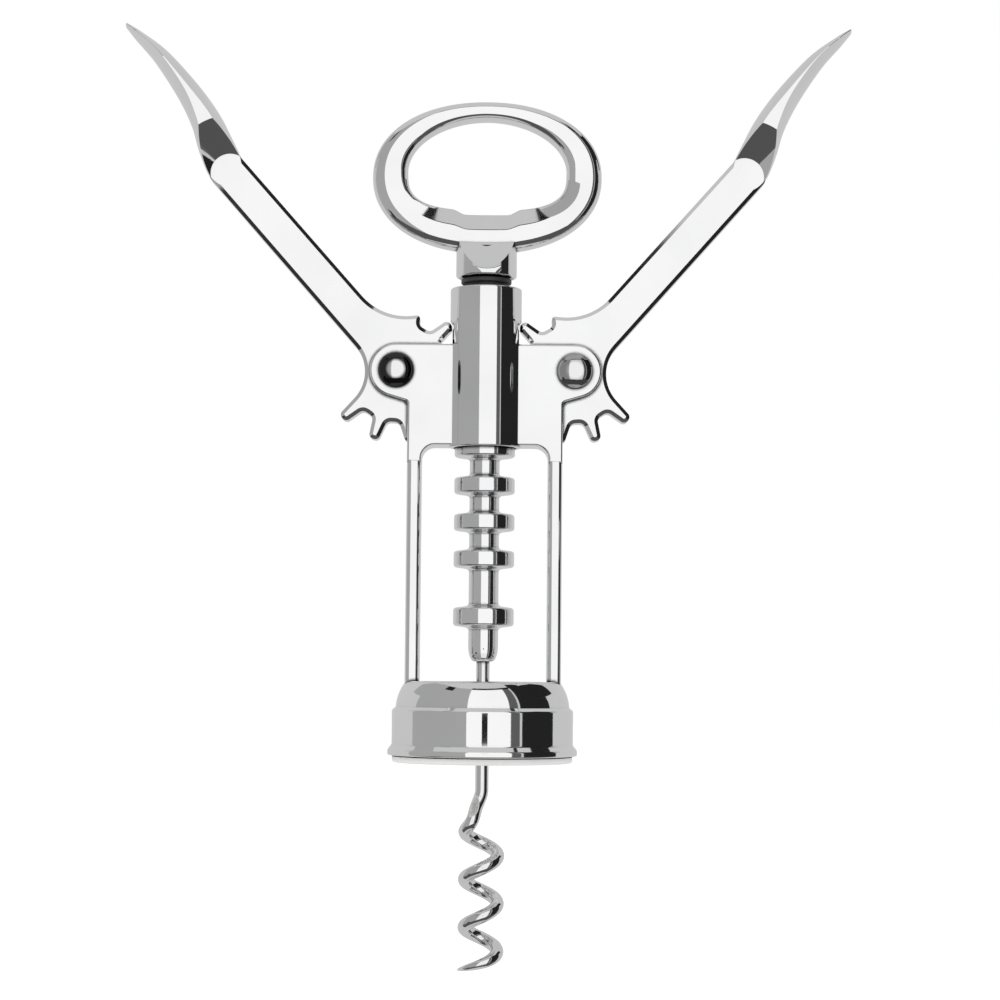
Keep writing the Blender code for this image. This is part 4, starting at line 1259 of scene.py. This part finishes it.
def build_floor():
    shape = bmesh.new()
    bmesh.ops.create_grid(shape, x_segments=1, y_segments=1, size=FLOOR_HALF)
    mesh = mesh_from(shape, "floor")
    floor = add_object("floor", mesh, studio, Matrix.Translation((0, 0, FLOOR_Z)))
    material, nodes, links, shader = new_material("pale_floor")
    shader.inputs["Base Color"].default_value = (*FLOOR_COLOUR, 1)
    shader.inputs["Roughness"].default_value = FLOOR_ROUGHNESS
    shader.inputs["Specular IOR Level"].default_value = 0
    shader.inputs["Emission Color"].default_value = (*WHITE, 1)
    links.new(seen_rays(nodes, links, FLOOR_LIFT), shader.inputs["Emission Strength"])
    floor.data.materials.append(material)
    floor.visible_glossy = False


def joined(nodes, links, operation, first, second):
    """Output of a math node on an output and an output or number."""
    node = nodes.new("ShaderNodeMath")
    node.operation = operation
    links.new(first, node.inputs[0])
    if isinstance(second, float):
        node.inputs[1].default_value = second
    else:
        links.new(second, node.inputs[1])
    return node.outputs["Value"]


def seen_rays(nodes, links, level):
    """The level for rays from the camera, metal or glass, and zero for the light itself."""
    rays = nodes.new("ShaderNodeLightPath").outputs
    seen = joined(nodes, links, "MAXIMUM", rays["Is Camera Ray"], rays["Is Glossy Ray"])
    seen = joined(nodes, links, "MAXIMUM", seen, rays["Is Transmission Ray"])
    return joined(nodes, links, "MULTIPLY", seen, level)


def build_world():
    """White to the camera and through glass, grey in metal as a room is, and pale as light."""
    world = bpy.data.worlds.new("pale_room")
    bpy.context.scene.world = world
    world.use_nodes = True
    nodes = world.node_tree.nodes
    links = world.node_tree.links
    nodes.clear()
    rays = nodes.new("ShaderNodeLightPath").outputs
    light = mixed(nodes, links, rays["Is Glossy Ray"], ROOM_LIGHT, ROOM_IN_METAL)
    seen = joined(nodes, links, "MAXIMUM", rays["Is Camera Ray"], rays["Is Transmission Ray"])
    background = nodes.new("ShaderNodeBackground")
    output = nodes.new("ShaderNodeOutputWorld")
    links.new(mixed(nodes, links, seen, light, WHITE), background.inputs["Color"])
    links.new(background.outputs["Background"], output.inputs["Surface"])


def build_lamp():
    lamp = bpy.data.lights.new("soft_lamp", "AREA")
    lamp.size = LAMP_SIZE
    lamp.energy = LAMP_POWER
    item = bpy.data.objects.new("soft_lamp", lamp)
    studio.objects.link(item)
    item.location = LAMP_PLACE
    item.rotation_euler = (-LAMP_PLACE).to_track_quat("-Z", "Y").to_euler()
    item.visible_glossy = False


def build_camera():
    camera = bpy.data.cameras.new("camera")
    camera.lens = CAMERA_LENS
    camera.sensor_width = CAMERA_SENSOR
    camera.clip_start = CAMERA_CLIP
    item = bpy.data.objects.new("camera", camera)
    studio.objects.link(item)
    place = Vector((VIEW_X, -VIEW_DISTANCE, VIEW_Z))
    target = Vector((VIEW_X, 0, TARGET_Z))
    look = (target - place).to_track_quat("-Z", "Y").to_matrix().to_4x4()
    roll = Matrix.Rotation(VIEW_ROLL, 4, "Z")
    item.matrix_world = Matrix.Translation(place) @ look @ roll
    bpy.context.scene.camera = item


parts = new_collection("corkscrew_looks")
cutters = new_collection("cutters")
studio = new_collection("studio")
finishes = {name: plated_metal(name, *look) for name, look in PLATED.items()}
finishes.update({name: moulded_plastic(name, *look) for name, look in MOULDED.items()})
build_bell()
build_insert()
build_frame()
build_lever("left_lever", 1)
build_lever("right_lever", -1)
build_rivet("left_rivet", -1)
build_rivet("right_rivet", 1)
build_shaft()
build_worm()
build_bush()
build_handle()
for order, (name, azimuths, elevations, level) in enumerate(FAR_CARDS):
    far_card(name, azimuths, elevations, level, CARD_RADIUS - order * CARD_SPACING)
for name, start, end, reach, level in NEAR_CARDS:
    near_card(name, start, end, reach, level)
build_floor()
build_world()
build_lamp()
build_camera()
bpy.context.scene.view_settings.view_transform = "Standard"
